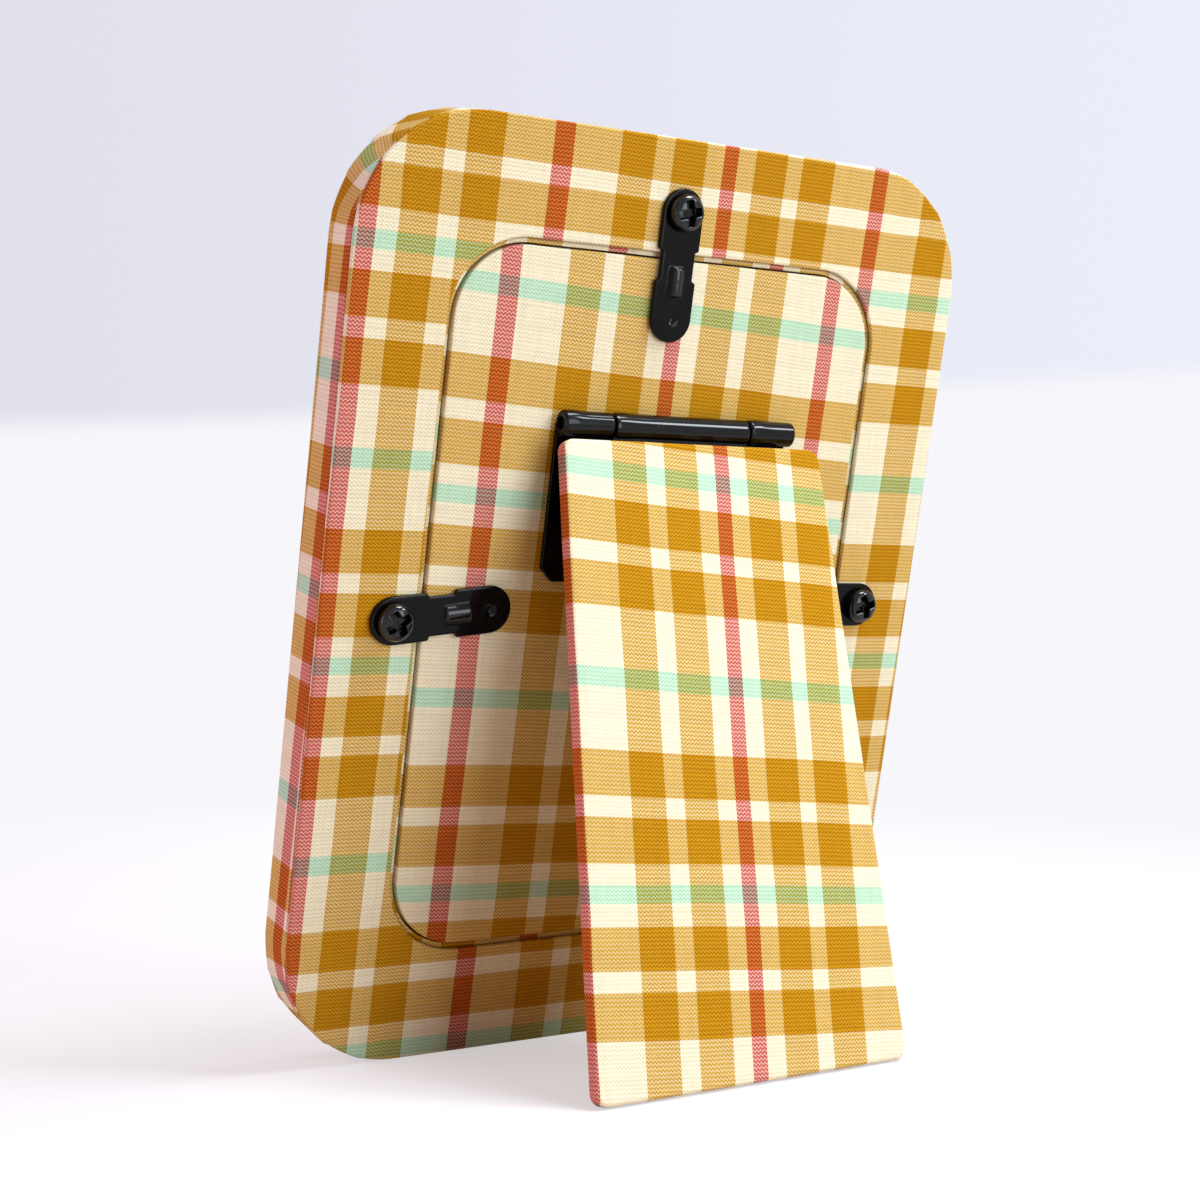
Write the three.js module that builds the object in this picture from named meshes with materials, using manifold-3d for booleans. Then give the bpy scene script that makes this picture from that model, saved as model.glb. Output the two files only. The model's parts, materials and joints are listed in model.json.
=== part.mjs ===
// Tabletop photo frame: fabric-wrapped boards, a lift-out back held by turn buttons, and a hinged easel leg.
// Millimetres, +Z up. The picture side faces -Y and the back faces +Y, where the open leg stands.
// Left and right are as seen from behind, so left is +X.
import * as THREE from 'three';
import { mergeVertices } from 'three/addons/utils/BufferGeometryUtils.js';
import Module from 'manifold-3d';

const wasm = await Module();
wasm.setup();

// Outer frame
const FRAME_WIDTH = 164;
const FRAME_HEIGHT = 213;
const FRAME_CORNER = 29;
const EDGE_ROUND = 1.2;
const LEAN_DEGREES = 11.6;

// Layers: covering cloth, and the glue line or seat clearance between any two pieces
const CLOTH = 0.4;
const GAP = 0.3;

// Borders round the rear opening, and the rebate that leaves a smaller window in front of the pane
const SIDE_BORDER = 24.15;
const END_BORDER = 25.9;
const OPENING_CORNER = 18;
const REBATE = 10.5;
const WINDOW_CORNER = 8;
const LIP = 3.6;
const FRONT_TURN_IN = 13;

// Pieces in the rear opening and behind it
const RING_BOARD = 0.4;
const RING_STEP = 0.6;
const PANEL_MARGIN = 1;
const PANEL_RECESS = 0.3;
const PANEL_BOARD = 2.5;
const PANEL_TURN_IN = 12;
const FILLER = 1.5;
const PRINT = 0.3;
const GLASS = 2;

// Turn buttons and their screws
const BUTTON_LENGTH = 34.5;
const BUTTON_WIDTH = 10.8;
const BUTTON_NECK_WIDTH = 8.9;
const BUTTON_NECK_FROM_SCREW = 8.1;
const BUTTON_NECK_LENGTH = 7.5;
const BUTTON_THICKNESS = 1;
const BUMP_WIDTH = 3.6;
const BUMP_LENGTH = 6.6;
const BUMP_HEIGHT = 1.2;
const BUMP_FROM_SCREW = 15.5;
const DIMPLE_RADIUS = 1.3;
const DIMPLE_DEPTH = 0.5;
const SCREW_SHANK_RADIUS = 1.75;
const SCREW_REACH = 7;
const SCREW_HEAD_RADIUS = 4.25;
const SCREW_HEAD_RIM = 1.2;
const SCREW_HEAD_HEIGHT = 2.9;
const SCREW_SHOULDER_INSET = 0.5;
const SCREW_SHOULDER_DROP = 0.6;
const SCREW_CROWN_INSET = 1.9;
const RECESS_SLOT = 1.2;
const RECESS_SPAN = 4.6;
const RECESS_DEPTH = 1.5;
const TOP_BUTTON_OFFSET = 2.2;
const TOP_SCREW_FROM_OPENING = 9.7;
const SIDE_SCREW_FROM_OPENING = 6.95;
const LEFT_SCREW_DROP = 3.2;
const RIGHT_SCREW_DROP = 0;
const LEFT_TONGUE_RISE_DEGREES = 6;
const TOP_CROSS_DEGREES = 14;
const LEFT_CROSS_DEGREES = 33;
const RIGHT_CROSS_DEGREES = 20;

// Hinge
const HINGE_BELOW_OPENING = 38.8;
const HINGE_OFFSET = -3;
const HINGE_MARGIN = 24.85;
const BARREL_RADIUS = 2.4;
const END_KNUCKLE = 13;
const PIN_RADIUS = 1.3;
const PIN_RECESS = 0.8;
const PLATE_THICKNESS = 1;
const PLATE_DROP = 36.2;
const PLATE_CHAMFER = 3;
const LEAF_THICKNESS = 0.8;
const LEAF_SHORTER = 8;
const LEAF_DROP = 28;
const RIVET_RADIUS = 1.2;
const RIVET_HEAD_RADIUS = 2.5;
const RIVET_HEAD_HEIGHT = 0.5;
const RIVET_TAIL = 0.4;
const PLATE_RIVET_FROM_END = 10;
const PLATE_RIVET_DROP = 26;
const LEAF_RIVET_SPREAD = 26;
const LEAF_RIVET_DROP = 19;
const LEAF_RIVET_TIP = 0.4;

// Easel leg, opened from the back by the angle of its stop
const LEG_OPEN_DEGREES = 22.1;
const LEG_BOARD = 2;
const LEG_TOP_MARGIN = 21.15;
const LEG_OFFSET = -4.4;
const LEG_FOOT_MARGIN = 14.25;
const LEG_BELOW_BARREL = 1.9;
const LEG_CORNER = 3;
const LEG_TURN_IN = 9;

// Facets
const ARC_STEPS = 4;
const EDGE_STEPS = 2;
const ROUND_STEPS = 20;
const CUT_PAST = 1;

const FABRIC = { color: 0xdcb98a, roughness: 0.92, metalness: 0 };
const FIBREBOARD = { color: 0x9a7650, roughness: 0.85, metalness: 0 };
const GREY_CARD = { color: 0xb9b2a6, roughness: 0.9, metalness: 0 };
const PHOTO_PAPER = { color: 0xf2efe8, roughness: 0.45, metalness: 0 };
const LINING_PAPER = { color: 0xe9dcc0, roughness: 0.9, metalness: 0 };
const BLACK_STEEL = { color: 0x1b1b1d, roughness: 0.38, metalness: 0.85 };
const CLEAR_GLASS = { color: 0xe8f0f0, roughness: 0.05, metalness: 0, transparent: true, opacity: 0.3 };

// Widths and heights that follow from the frame and its borders
const openingWidth = FRAME_WIDTH - 2 * SIDE_BORDER;
const openingHeight = FRAME_HEIGHT - 2 * END_BORDER;
const openingTop = FRAME_HEIGHT - END_BORDER;
const panelWidth = openingWidth - 2 * PANEL_MARGIN;
const middleHeight = FRAME_HEIGHT / 2;
const hingeHeight = openingTop - HINGE_BELOW_OPENING;
const barrelLength = panelWidth - 2 * HINGE_MARGIN;
const leafWidth = barrelLength - LEAF_SHORTER;
const legTopWidth = panelWidth - 2 * LEG_TOP_MARGIN;
const legFootWidth = panelWidth - 2 * LEG_FOOT_MARGIN;

// Depths, from the back face at y = 0 towards the front, each stacked on the one before
const layer = GAP + CLOTH;
const ringBoardBack = -layer;
const ringFront = ringBoardBack - RING_BOARD;
const frontWrapBack = ringFront - GAP;
const bodyBack = frontWrapBack - layer;
const panelBack = -PANEL_RECESS;
const panelBoardBack = panelBack - layer;
const panelBoardFront = panelBoardBack - PANEL_BOARD;
const panelFront = panelBoardFront - GAP - Math.max(CLOTH, RIVET_TAIL);
const fillerBack = panelFront - GAP;
const printBack = fillerBack - FILLER - GAP;
const glassBack = printBack - PRINT - GAP;
const lipBack = glassBack - GLASS - GAP;
const bodyFront = lipBack - LIP;
const frameFront = bodyFront - layer;

// Hinge and leg places that follow from the sizes above
const plateFront = panelBack + GAP;
const plateBack = plateFront + PLATE_THICKNESS;
const axisDepth = plateFront + BARREL_RADIUS;
const boreRadius = PIN_RADIUS + GAP;
const middleKnuckle = barrelLength - 2 * END_KNUCKLE - 2 * GAP;
const lean = THREE.MathUtils.degToRad(LEAN_DEGREES);
const legOpen = THREE.MathUtils.degToRad(LEG_OPEN_DEGREES);
const legSlope = legOpen - lean;
const legInner = LEAF_THICKNESS / 2 + GAP;
const legBoardInner = legInner + layer;
const legBoardOuter = legBoardInner + LEG_BOARD;
const legOuter = legBoardOuter + layer;
const legTop = BARREL_RADIUS + LEG_BELOW_BARREL;
const axisAboveFloor = hingeHeight * Math.cos(lean) - (axisDepth + EDGE_ROUND) * Math.sin(lean);
const legLength = (axisAboveFloor + legInner * Math.sin(legSlope)) / Math.cos(legSlope);

// Button places: x and z of the screw, the turn of the tongue from hanging down, and the turn of the cross
const sideScrewX = openingWidth / 2 + SIDE_SCREW_FROM_OPENING;
const buttonPlaces = [
  {
    side: 'top',
    x: TOP_BUTTON_OFFSET,
    z: openingTop + TOP_SCREW_FROM_OPENING,
    swing: 0,
    cross: TOP_CROSS_DEGREES,
  },
  {
    side: 'left',
    x: sideScrewX,
    z: middleHeight - LEFT_SCREW_DROP,
    swing: 90 + LEFT_TONGUE_RISE_DEGREES,
    cross: LEFT_CROSS_DEGREES,
  },
  {
    side: 'right',
    x: -sideScrewX,
    z: middleHeight - RIGHT_SCREW_DROP,
    swing: -90,
    cross: RIGHT_CROSS_DEGREES,
  },
];

// Convex outline in the x-z plane: corners in counter-clockwise order, all rounded by one radius.
class Outline {
  constructor(corners, radius) {
    this.corners = corners;
    this.radius = radius;
  }

  static rectangle(width, height, radius, centreZ) {
    const halfWidth = width / 2;
    const halfHeight = height / 2;
    const corners = [
      new THREE.Vector2(-halfWidth, centreZ - halfHeight),
      new THREE.Vector2(halfWidth, centreZ - halfHeight),
      new THREE.Vector2(halfWidth, centreZ + halfHeight),
      new THREE.Vector2(-halfWidth, centreZ + halfHeight),
    ];
    return new Outline(corners, radius);
  }

  // The same outline with every edge moved inwards, and its round corners kept concentric where they can be.
  inset(distance) {
    const count = this.corners.length;
    const moved = this.corners.map((corner, i) => {
      const before = corner.clone().sub(this.corners[(i + count - 1) % count]).normalize();
      const after = this.corners[(i + 1) % count].clone().sub(corner).normalize();
      const turn = before.cross(after);
      return corner.clone().addScaledVector(after, distance / turn).addScaledVector(before, -distance / turn);
    });
    return new Outline(moved, Math.max(this.radius - distance, GAP));
  }

  shape() {
    const count = this.corners.length;
    const shape = new THREE.Shape();
    this.corners.forEach((corner, i) => {
      const back = this.corners[(i + count - 1) % count].clone().sub(corner).normalize();
      const ahead = this.corners[(i + 1) % count].clone().sub(corner).normalize();
      const half = Math.acos(back.dot(ahead)) / 2;
      const middle = back.clone().add(ahead).normalize();
      const centre = corner.clone().addScaledVector(middle, this.radius / Math.sin(half));
      const reach = this.radius / Math.tan(half);
      const from = corner.clone().addScaledVector(back, reach).sub(centre).angle();
      const to = corner.clone().addScaledVector(ahead, reach).sub(centre).angle();
      shape.absarc(centre.x, centre.y, this.radius, from, to, false);
    });
    return shape;
  }
}

// Closed solid of a geometry, without the empty triangles that a lathe leaves on its axis.
function solidOf(geometry) {
  geometry.deleteAttribute('normal');
  geometry.deleteAttribute('uv');
  const merged = mergeVertices(geometry);
  const index = merged.index.array;
  const triangles = [];
  for (let i = 0; i < index.length; i += 3) {
    const [a, b, c] = index.slice(i, i + 3);
    if (a !== b && b !== c && c !== a) triangles.push(a, b, c);
  }
  const vertProperties = Float32Array.from(merged.attributes.position.array);
  const mesh = new wasm.Mesh({ numProp: 3, vertProperties, triVerts: Uint32Array.from(triangles) });
  return new wasm.Manifold(mesh);
}

// Flat piece of an outline between two depths.
function slab(outline, front, back) {
  const options = { depth: back - front, bevelEnabled: false, curveSegments: ARC_STEPS };
  const geometry = new THREE.ExtrudeGeometry(outline.shape(), options);
  geometry.rotateX(Math.PI / 2);
  geometry.translate(0, back, 0);
  return solidOf(geometry);
}

// The same with its front and back edges rounded.
function softSlab(outline, front, back, edge) {
  const geometry = new THREE.ExtrudeGeometry(outline.shape(), {
    depth: back - front - 2 * edge,
    bevelSize: edge,
    bevelThickness: edge,
    bevelOffset: -edge,
    bevelSegments: EDGE_STEPS,
    curveSegments: ARC_STEPS,
  });
  geometry.rotateX(Math.PI / 2);
  geometry.translate(0, back - edge, 0);
  return solidOf(geometry);
}

// Round bar square to the boards, between two depths.
function rod(radius, front, back, x, z) {
  const geometry = new THREE.CylinderGeometry(radius, radius, back - front, ROUND_STEPS);
  geometry.translate(x, (front + back) / 2, z);
  return solidOf(geometry);
}

// Round bar along the hinge axis, centred at x.
function axle(radius, length, x) {
  const geometry = new THREE.CylinderGeometry(radius, radius, length, ROUND_STEPS);
  geometry.rotateZ(Math.PI / 2);
  geometry.translate(x, 0, 0);
  return solidOf(geometry);
}

function block(width, front, back, bottom, top, x) {
  const geometry = new THREE.BoxGeometry(width, back - front, top - bottom);
  geometry.translate(x, (front + back) / 2, (bottom + top) / 2);
  return solidOf(geometry);
}

// Solid turned about its y axis from a profile of radius and depth pairs, front end first.
function turned(profile) {
  const points = profile.map(([radius, depth]) => new THREE.Vector2(radius, depth));
  return solidOf(new THREE.LatheGeometry(points, ROUND_STEPS));
}

function drilled(solid, holes) {
  return holes.reduce((left, hole) => left.subtract(hole), solid);
}

function meshOf(name, solid, look) {
  const { vertProperties, triVerts } = solid.getMesh();
  const geometry = new THREE.BufferGeometry();
  geometry.setAttribute('position', new THREE.BufferAttribute(Float32Array.from(vertProperties), 3));
  geometry.setIndex(new THREE.BufferAttribute(Uint32Array.from(triVerts), 1));
  geometry.computeVertexNormals();
  const mesh = new THREE.Mesh(geometry, new THREE.MeshStandardMaterial(look));
  mesh.name = name;
  return mesh;
}

const windowWidth = openingWidth - 2 * REBATE;
const windowHeight = openingHeight - 2 * REBATE;
const frameOutline = Outline.rectangle(FRAME_WIDTH, FRAME_HEIGHT, FRAME_CORNER, middleHeight);
const windowOutline = Outline.rectangle(windowWidth, windowHeight, WINDOW_CORNER, middleHeight);
const openingOutline = Outline.rectangle(openingWidth, openingHeight, OPENING_CORNER, middleHeight);
const ringOpening = openingOutline.inset(-RING_STEP);
const panelOutline = openingOutline.inset(PANEL_MARGIN);
const legOutline = new Outline([
  new THREE.Vector2(LEG_OFFSET - legFootWidth / 2, -legLength),
  new THREE.Vector2(LEG_OFFSET + legFootWidth / 2, -legLength),
  new THREE.Vector2(LEG_OFFSET + legTopWidth / 2, -legTop),
  new THREE.Vector2(LEG_OFFSET - legTopWidth / 2, -legTop),
], LEG_CORNER);

// Holes that the button screws need in the layers under them
function screwHoles() {
  const holeRadius = SCREW_SHANK_RADIUS + GAP;
  const holeEnd = bodyBack - SCREW_REACH - GAP;
  return buttonPlaces.map(({ x, z }) => rod(holeRadius, holeEnd, CUT_PAST, x, z));
}

function plateRivetPlaces() {
  return [1, -1].map((sign) => ({
    side: sign > 0 ? 'left' : 'right',
    x: HINGE_OFFSET + sign * (barrelLength / 2 - PLATE_RIVET_FROM_END),
    z: hingeHeight - PLATE_RIVET_DROP,
  }));
}

function plateRivetHoles() {
  const front = panelFront - CUT_PAST;
  return plateRivetPlaces().map(({ x, z }) => rod(RIVET_RADIUS + GAP, front, plateBack + CUT_PAST, x, z));
}

function leafRivetPlaces() {
  return [1, -1].map((sign) => ({
    side: sign > 0 ? 'left' : 'right',
    x: HINGE_OFFSET + sign * LEAF_RIVET_SPREAD / 2,
    z: -LEAF_RIVET_DROP,
  }));
}

function leafRivetHoles() {
  return leafRivetPlaces().map(({ x, z }) => rod(RIVET_RADIUS + GAP, -legInner, legBoardOuter + GAP, x, z));
}

function frontBoard() {
  const body = slab(frameOutline.inset(layer), bodyFront, bodyBack);
  const sight = slab(windowOutline.inset(-layer), bodyFront - CUT_PAST, bodyBack + CUT_PAST);
  const pocket = slab(openingOutline, lipBack, bodyBack + CUT_PAST);
  return drilled(body.subtract(sight).subtract(pocket), screwHoles());
}

// Cloth over the picture side, round the outer edge and into the window, with its hem turned in behind.
function frontFabric() {
  const wholeFrame = softSlab(frameOutline, frameFront, 0, EDGE_ROUND);
  const behind = slab(frameOutline.inset(-CUT_PAST), frontWrapBack, CUT_PAST);
  const boardRoom = slab(frameOutline.inset(CLOTH), frameFront + CLOTH, frontWrapBack - CLOTH);
  const windowCore = slab(windowOutline.inset(-CLOTH), frameFront, frontWrapBack);
  const hemOpening = slab(frameOutline.inset(FRONT_TURN_IN), lipBack, frontWrapBack + CUT_PAST);
  const sight = slab(windowOutline, frameFront - CUT_PAST, frontWrapBack + CUT_PAST);
  const hollow = boardRoom.subtract(windowCore).add(hemOpening).add(sight);
  return drilled(wholeFrame.subtract(behind).subtract(hollow), screwHoles());
}

function backRingBoard() {
  const ring = slab(frameOutline.inset(layer), ringFront, ringBoardBack);
  const opening = slab(ringOpening.inset(-layer), ringFront - CUT_PAST, CUT_PAST);
  return drilled(ring.subtract(opening), screwHoles());
}

// Cloth over the back ring, folded down its outer edge and its opening, which leaves a narrow ledge round the pocket.
function backRingFabric() {
  const wholeFrame = softSlab(frameOutline, frameFront, 0, EDGE_ROUND);
  const ahead = slab(frameOutline.inset(-CUT_PAST), frameFront - CUT_PAST, ringFront);
  const opening = slab(ringOpening, frameFront - CUT_PAST, CUT_PAST);
  const boardRoom = slab(frameOutline.inset(CLOTH), ringFront - CUT_PAST, -CLOTH);
  const openingFold = slab(ringOpening.inset(-CLOTH), ringFront - 2 * CUT_PAST, 0);
  const hollow = boardRoom.subtract(openingFold);
  return drilled(wholeFrame.subtract(ahead).subtract(opening).subtract(hollow), screwHoles());
}

function backPanelBoard() {
  return drilled(slab(panelOutline.inset(layer), panelBoardFront, panelBoardBack), plateRivetHoles());
}

// Cloth over the lift-out panel, with its hem turned in on the hidden side.
function backPanelFabric() {
  const hemFront = panelBoardFront - layer;
  const outside = slab(panelOutline, hemFront, panelBack);
  const boardRoom = slab(panelOutline.inset(CLOTH), hemFront + CLOTH, panelBack - CLOTH);
  const hemOpening = slab(panelOutline.inset(PANEL_TURN_IN), hemFront - CUT_PAST, panelBack - CLOTH);
  return drilled(outside.subtract(boardRoom.add(hemOpening)), plateRivetHoles());
}

// Stamped button: two round ends, a narrower neck between square shoulders, a pressed bump and a dimple.
// The tongue hangs down from the screw.
function turnButton() {
  const endRadius = BUTTON_WIDTH / 2;
  const tongueCentre = BUTTON_LENGTH - BUTTON_WIDTH;
  const neckEnd = BUTTON_NECK_FROM_SCREW + BUTTON_NECK_LENGTH;
  const front = GAP;
  const back = GAP + BUTTON_THICKNESS;
  const plate = rod(endRadius, front, back, 0, 0)
    .add(block(BUTTON_WIDTH, front, back, -BUTTON_NECK_FROM_SCREW, 0, 0))
    .add(block(BUTTON_NECK_WIDTH, front, back, -tongueCentre, 0, 0))
    .add(block(BUTTON_WIDTH, front, back, -tongueCentre, -neckEnd, 0))
    .add(rod(endRadius, front, back, 0, -tongueCentre));
  const bumpOutline = Outline.rectangle(BUMP_WIDTH, BUMP_LENGTH, BUMP_WIDTH / 2 - GAP, -BUMP_FROM_SCREW);
  const bump = slab(bumpOutline, back - BUTTON_THICKNESS / 2, back + BUMP_HEIGHT);
  const dimple = rod(DIMPLE_RADIUS, back - DIMPLE_DEPTH, back + CUT_PAST, 0, -tongueCentre);
  const screwHole = rod(SCREW_SHANK_RADIUS + GAP, -CUT_PAST, back + CUT_PAST, 0, 0);
  return plate.add(bump).subtract(dimple).subtract(screwHole);
}

// Pan-head screw with a cross recess, its head clear of the button.
function turnScrew(crossDegrees) {
  const seat = BUTTON_THICKNESS + 2 * GAP;
  const tip = bodyBack - SCREW_REACH;
  const top = seat + SCREW_HEAD_HEIGHT;
  const screw = turned([
    [0, tip],
    [SCREW_SHANK_RADIUS, tip + SCREW_SHANK_RADIUS],
    [SCREW_SHANK_RADIUS, seat],
    [SCREW_HEAD_RADIUS, seat],
    [SCREW_HEAD_RADIUS, seat + SCREW_HEAD_RIM],
    [SCREW_HEAD_RADIUS - SCREW_SHOULDER_INSET, top - SCREW_SHOULDER_DROP],
    [SCREW_HEAD_RADIUS - SCREW_CROWN_INSET, top],
    [0, top],
  ]);
  const slots = [0, 90].map((turn) => {
    const slot = new THREE.BoxGeometry(RECESS_SLOT, 2 * RECESS_DEPTH, RECESS_SPAN);
    slot.rotateY(THREE.MathUtils.degToRad(crossDegrees + turn));
    slot.translate(0, top, 0);
    return solidOf(slot);
  });
  return drilled(screw, slots);
}

// Panel leaf of the hinge, with a rolled knuckle at each end. Built about the hinge axis.
function hingePlate() {
  const front = plateFront - axisDepth;
  const back = plateBack - axisDepth;
  const knuckleCentre = (barrelLength - END_KNUCKLE) / 2;
  const flat = new THREE.Shape();
  flat.moveTo(-barrelLength / 2, 0);
  flat.lineTo(-barrelLength / 2, PLATE_CHAMFER - PLATE_DROP);
  flat.lineTo(PLATE_CHAMFER - barrelLength / 2, -PLATE_DROP);
  flat.lineTo(barrelLength / 2 - PLATE_CHAMFER, -PLATE_DROP);
  flat.lineTo(barrelLength / 2, PLATE_CHAMFER - PLATE_DROP);
  flat.lineTo(barrelLength / 2, 0);
  const plate = slab({ shape: () => flat }, front, back);
  const knuckles = [1, -1].map((sign) => axle(BARREL_RADIUS, END_KNUCKLE, sign * knuckleCentre));
  const notch = block(
    middleKnuckle + 2 * GAP,
    front - CUT_PAST,
    BARREL_RADIUS + GAP,
    -BARREL_RADIUS - GAP,
    BARREL_RADIUS + GAP,
    0,
  );
  const bore = axle(boreRadius, barrelLength + 2 * CUT_PAST, 0);
  const holes = plateRivetPlaces().map(({ x, z }) => (
    rod(RIVET_RADIUS + GAP, front - CUT_PAST, back + CUT_PAST, x - HINGE_OFFSET, z - hingeHeight)
  ));
  return drilled(plate.add(knuckles[0]).add(knuckles[1]).subtract(notch).subtract(bore), holes);
}

// Rivet through the panel, with a flat head outside and a clinched tail inside.
function plateRivet() {
  const seat = plateBack + GAP;
  const clinch = panelBoardFront - GAP;
  return turned([
    [0, clinch - RIVET_TAIL],
    [RIVET_HEAD_RADIUS, clinch - RIVET_TAIL],
    [RIVET_HEAD_RADIUS, clinch],
    [RIVET_RADIUS, clinch],
    [RIVET_RADIUS, seat],
    [RIVET_HEAD_RADIUS, seat],
    [RIVET_RADIUS, seat + RIVET_HEAD_HEIGHT],
    [0, seat + RIVET_HEAD_HEIGHT],
  ]);
}

// Leg leaf of the hinge, with the middle knuckle.
// Built about the hinge axis, hanging down the leg's inner face.
function legLeaf() {
  const half = LEAF_THICKNESS / 2;
  const shoulder = -BARREL_RADIUS - GAP;
  const leaf = block(leafWidth, -half, half, -LEAF_DROP, shoulder, HINGE_OFFSET);
  const strap = block(middleKnuckle, -half, half, shoulder - CUT_PAST, 0, HINGE_OFFSET);
  const knuckle = axle(BARREL_RADIUS, middleKnuckle, HINGE_OFFSET);
  const bore = axle(boreRadius, barrelLength, HINGE_OFFSET);
  return drilled(leaf.add(strap).add(knuckle).subtract(bore), leafRivetHoles());
}

// Pin-rivet driven through the leaf into the leg board.
function leafRivet() {
  const seat = -LEAF_THICKNESS / 2 - GAP;
  const tip = legBoardOuter - LEAF_RIVET_TIP;
  return turned([
    [0, seat - RIVET_HEAD_HEIGHT],
    [RIVET_RADIUS, seat - RIVET_HEAD_HEIGHT],
    [RIVET_HEAD_RADIUS, seat],
    [RIVET_RADIUS, seat],
    [RIVET_RADIUS, tip],
    [0, tip],
  ]);
}

function legBoard() {
  return drilled(slab(legOutline.inset(layer), legBoardInner, legBoardOuter), leafRivetHoles());
}

// Cloth round the leg, with its hem turned in on the inner face.
function legFabric() {
  const outside = slab(legOutline, legInner, legOuter);
  const boardRoom = slab(legOutline.inset(CLOTH), legInner + CLOTH, legOuter - CLOTH);
  const hemOpening = slab(legOutline.inset(LEG_TURN_IN), legInner - CUT_PAST, legOuter - CLOTH);
  return drilled(outside.subtract(boardRoom.add(hemOpening)), leafRivetHoles());
}

// Paper that fills the space inside the leg's hem.
function legLining() {
  return drilled(slab(legOutline.inset(LEG_TURN_IN + GAP), legInner, legInner + CLOTH), leafRivetHoles());
}

function buildFrame() {
  const frame = new THREE.Group();
  frame.add(
    meshOf('front_board', frontBoard(), FIBREBOARD),
    meshOf('front_fabric', frontFabric(), FABRIC),
    meshOf('back_ring_board', backRingBoard(), GREY_CARD),
    meshOf('back_ring_fabric', backRingFabric(), FABRIC),
    meshOf('glass_pane', slab(panelOutline, glassBack - GLASS, glassBack), CLEAR_GLASS),
    meshOf('photo_print', slab(panelOutline, printBack - PRINT, printBack), PHOTO_PAPER),
    meshOf('filler_card', slab(panelOutline, fillerBack - FILLER, fillerBack), GREY_CARD),
    meshOf('back_panel_board', backPanelBoard(), FIBREBOARD),
    meshOf('back_panel_fabric', backPanelFabric(), FABRIC),
  );
  plateRivetPlaces().forEach(({ side, x, z }) => {
    const rivet = meshOf(`hinge_plate_rivet_${side}`, plateRivet(), BLACK_STEEL);
    rivet.position.set(x, 0, z);
    frame.add(rivet);
  });
  return frame;
}

function buildButtons() {
  const buttons = new THREE.Group();
  buttonPlaces.forEach(({ side, x, z, swing, cross }) => {
    const button = meshOf(`turn_button_${side}`, turnButton(), BLACK_STEEL);
    button.position.set(x, 0, z);
    button.rotation.y = THREE.MathUtils.degToRad(swing);
    const screw = meshOf(`turn_screw_${side}`, turnScrew(cross), BLACK_STEEL);
    screw.position.set(x, 0, z);
    buttons.add(button, screw);
  });
  return buttons;
}

function buildHinge() {
  const hinge = new THREE.Group();
  hinge.position.set(HINGE_OFFSET, axisDepth, hingeHeight);
  hinge.add(
    meshOf('hinge_plate', hingePlate(), BLACK_STEEL),
    meshOf('hinge_pin', axle(PIN_RADIUS, barrelLength - 2 * PIN_RECESS, 0), BLACK_STEEL),
  );
  return hinge;
}

function buildLeg() {
  const leg = new THREE.Group();
  leg.name = 'leg';
  leg.position.set(0, axisDepth, hingeHeight);
  leg.rotation.x = legOpen;
  leg.add(
    meshOf('leg_board', legBoard(), FIBREBOARD),
    meshOf('leg_fabric', legFabric(), FABRIC),
    meshOf('leg_lining', legLining(), LINING_PAPER),
    meshOf('leg_leaf', legLeaf(), BLACK_STEEL),
  );
  leafRivetPlaces().forEach(({ side, x, z }) => {
    const rivet = meshOf(`leg_leaf_rivet_${side}`, leafRivet(), BLACK_STEEL);
    rivet.position.set(x, 0, z);
    leg.add(rivet);
  });
  return leg;
}

// Everything on the back face leans back about the frame's lower back edge, which stands on the floor.
const leaning = new THREE.Group();
leaning.position.set(0, EDGE_ROUND * Math.cos(lean), -EDGE_ROUND * Math.sin(lean));
leaning.rotation.x = -lean;
leaning.add(buildFrame(), buildButtons(), buildHinge(), buildLeg());

// The origin is the middle of the footprint, on the floor.
const photoFrame = new THREE.Group();
photoFrame.add(leaning);
photoFrame.updateMatrixWorld(true);
const middle = new THREE.Box3().setFromObject(photoFrame, true).getCenter(new THREE.Vector3());
leaning.position.x -= middle.x;
leaning.position.y -= middle.y;

export default photoFrame;
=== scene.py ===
"""Dresses a tabletop photo frame: plaid cotton over boards, black steel hardware and an easel leg.

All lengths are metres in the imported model's frame: +Z up, the picture side faces -Y, the leg stands at +Y.
"""

import json
import logging
import math
from dataclasses import dataclass
from enum import Enum
from typing import Any, Mapping, Sequence

import bmesh
import bpy
import numpy as np
from mathutils import Matrix, Vector, noise


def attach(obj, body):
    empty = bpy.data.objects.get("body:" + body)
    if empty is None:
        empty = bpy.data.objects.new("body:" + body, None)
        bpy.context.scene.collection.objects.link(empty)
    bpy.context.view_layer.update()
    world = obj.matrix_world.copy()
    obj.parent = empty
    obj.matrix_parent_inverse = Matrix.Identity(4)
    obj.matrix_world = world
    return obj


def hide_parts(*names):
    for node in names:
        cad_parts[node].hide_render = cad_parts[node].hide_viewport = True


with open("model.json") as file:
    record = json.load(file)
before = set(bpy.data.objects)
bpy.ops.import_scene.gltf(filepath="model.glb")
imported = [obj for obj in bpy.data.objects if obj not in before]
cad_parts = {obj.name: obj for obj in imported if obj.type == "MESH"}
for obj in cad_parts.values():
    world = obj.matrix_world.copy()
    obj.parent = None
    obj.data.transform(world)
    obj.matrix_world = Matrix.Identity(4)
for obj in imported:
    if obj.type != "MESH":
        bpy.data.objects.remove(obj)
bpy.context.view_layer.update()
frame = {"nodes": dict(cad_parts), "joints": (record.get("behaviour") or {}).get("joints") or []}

MM = 0.001
CLOTH_MAP = "cloth"
LEAST_RADIUS = 0.05 * MM
PLACE_DECIMALS = 7
SAME_PLACE = 1e-7
NO_LENGTH = 1e-8
SEAM_GAP = 1e-6
LOG = logging.getLogger("photo_frame")

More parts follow.
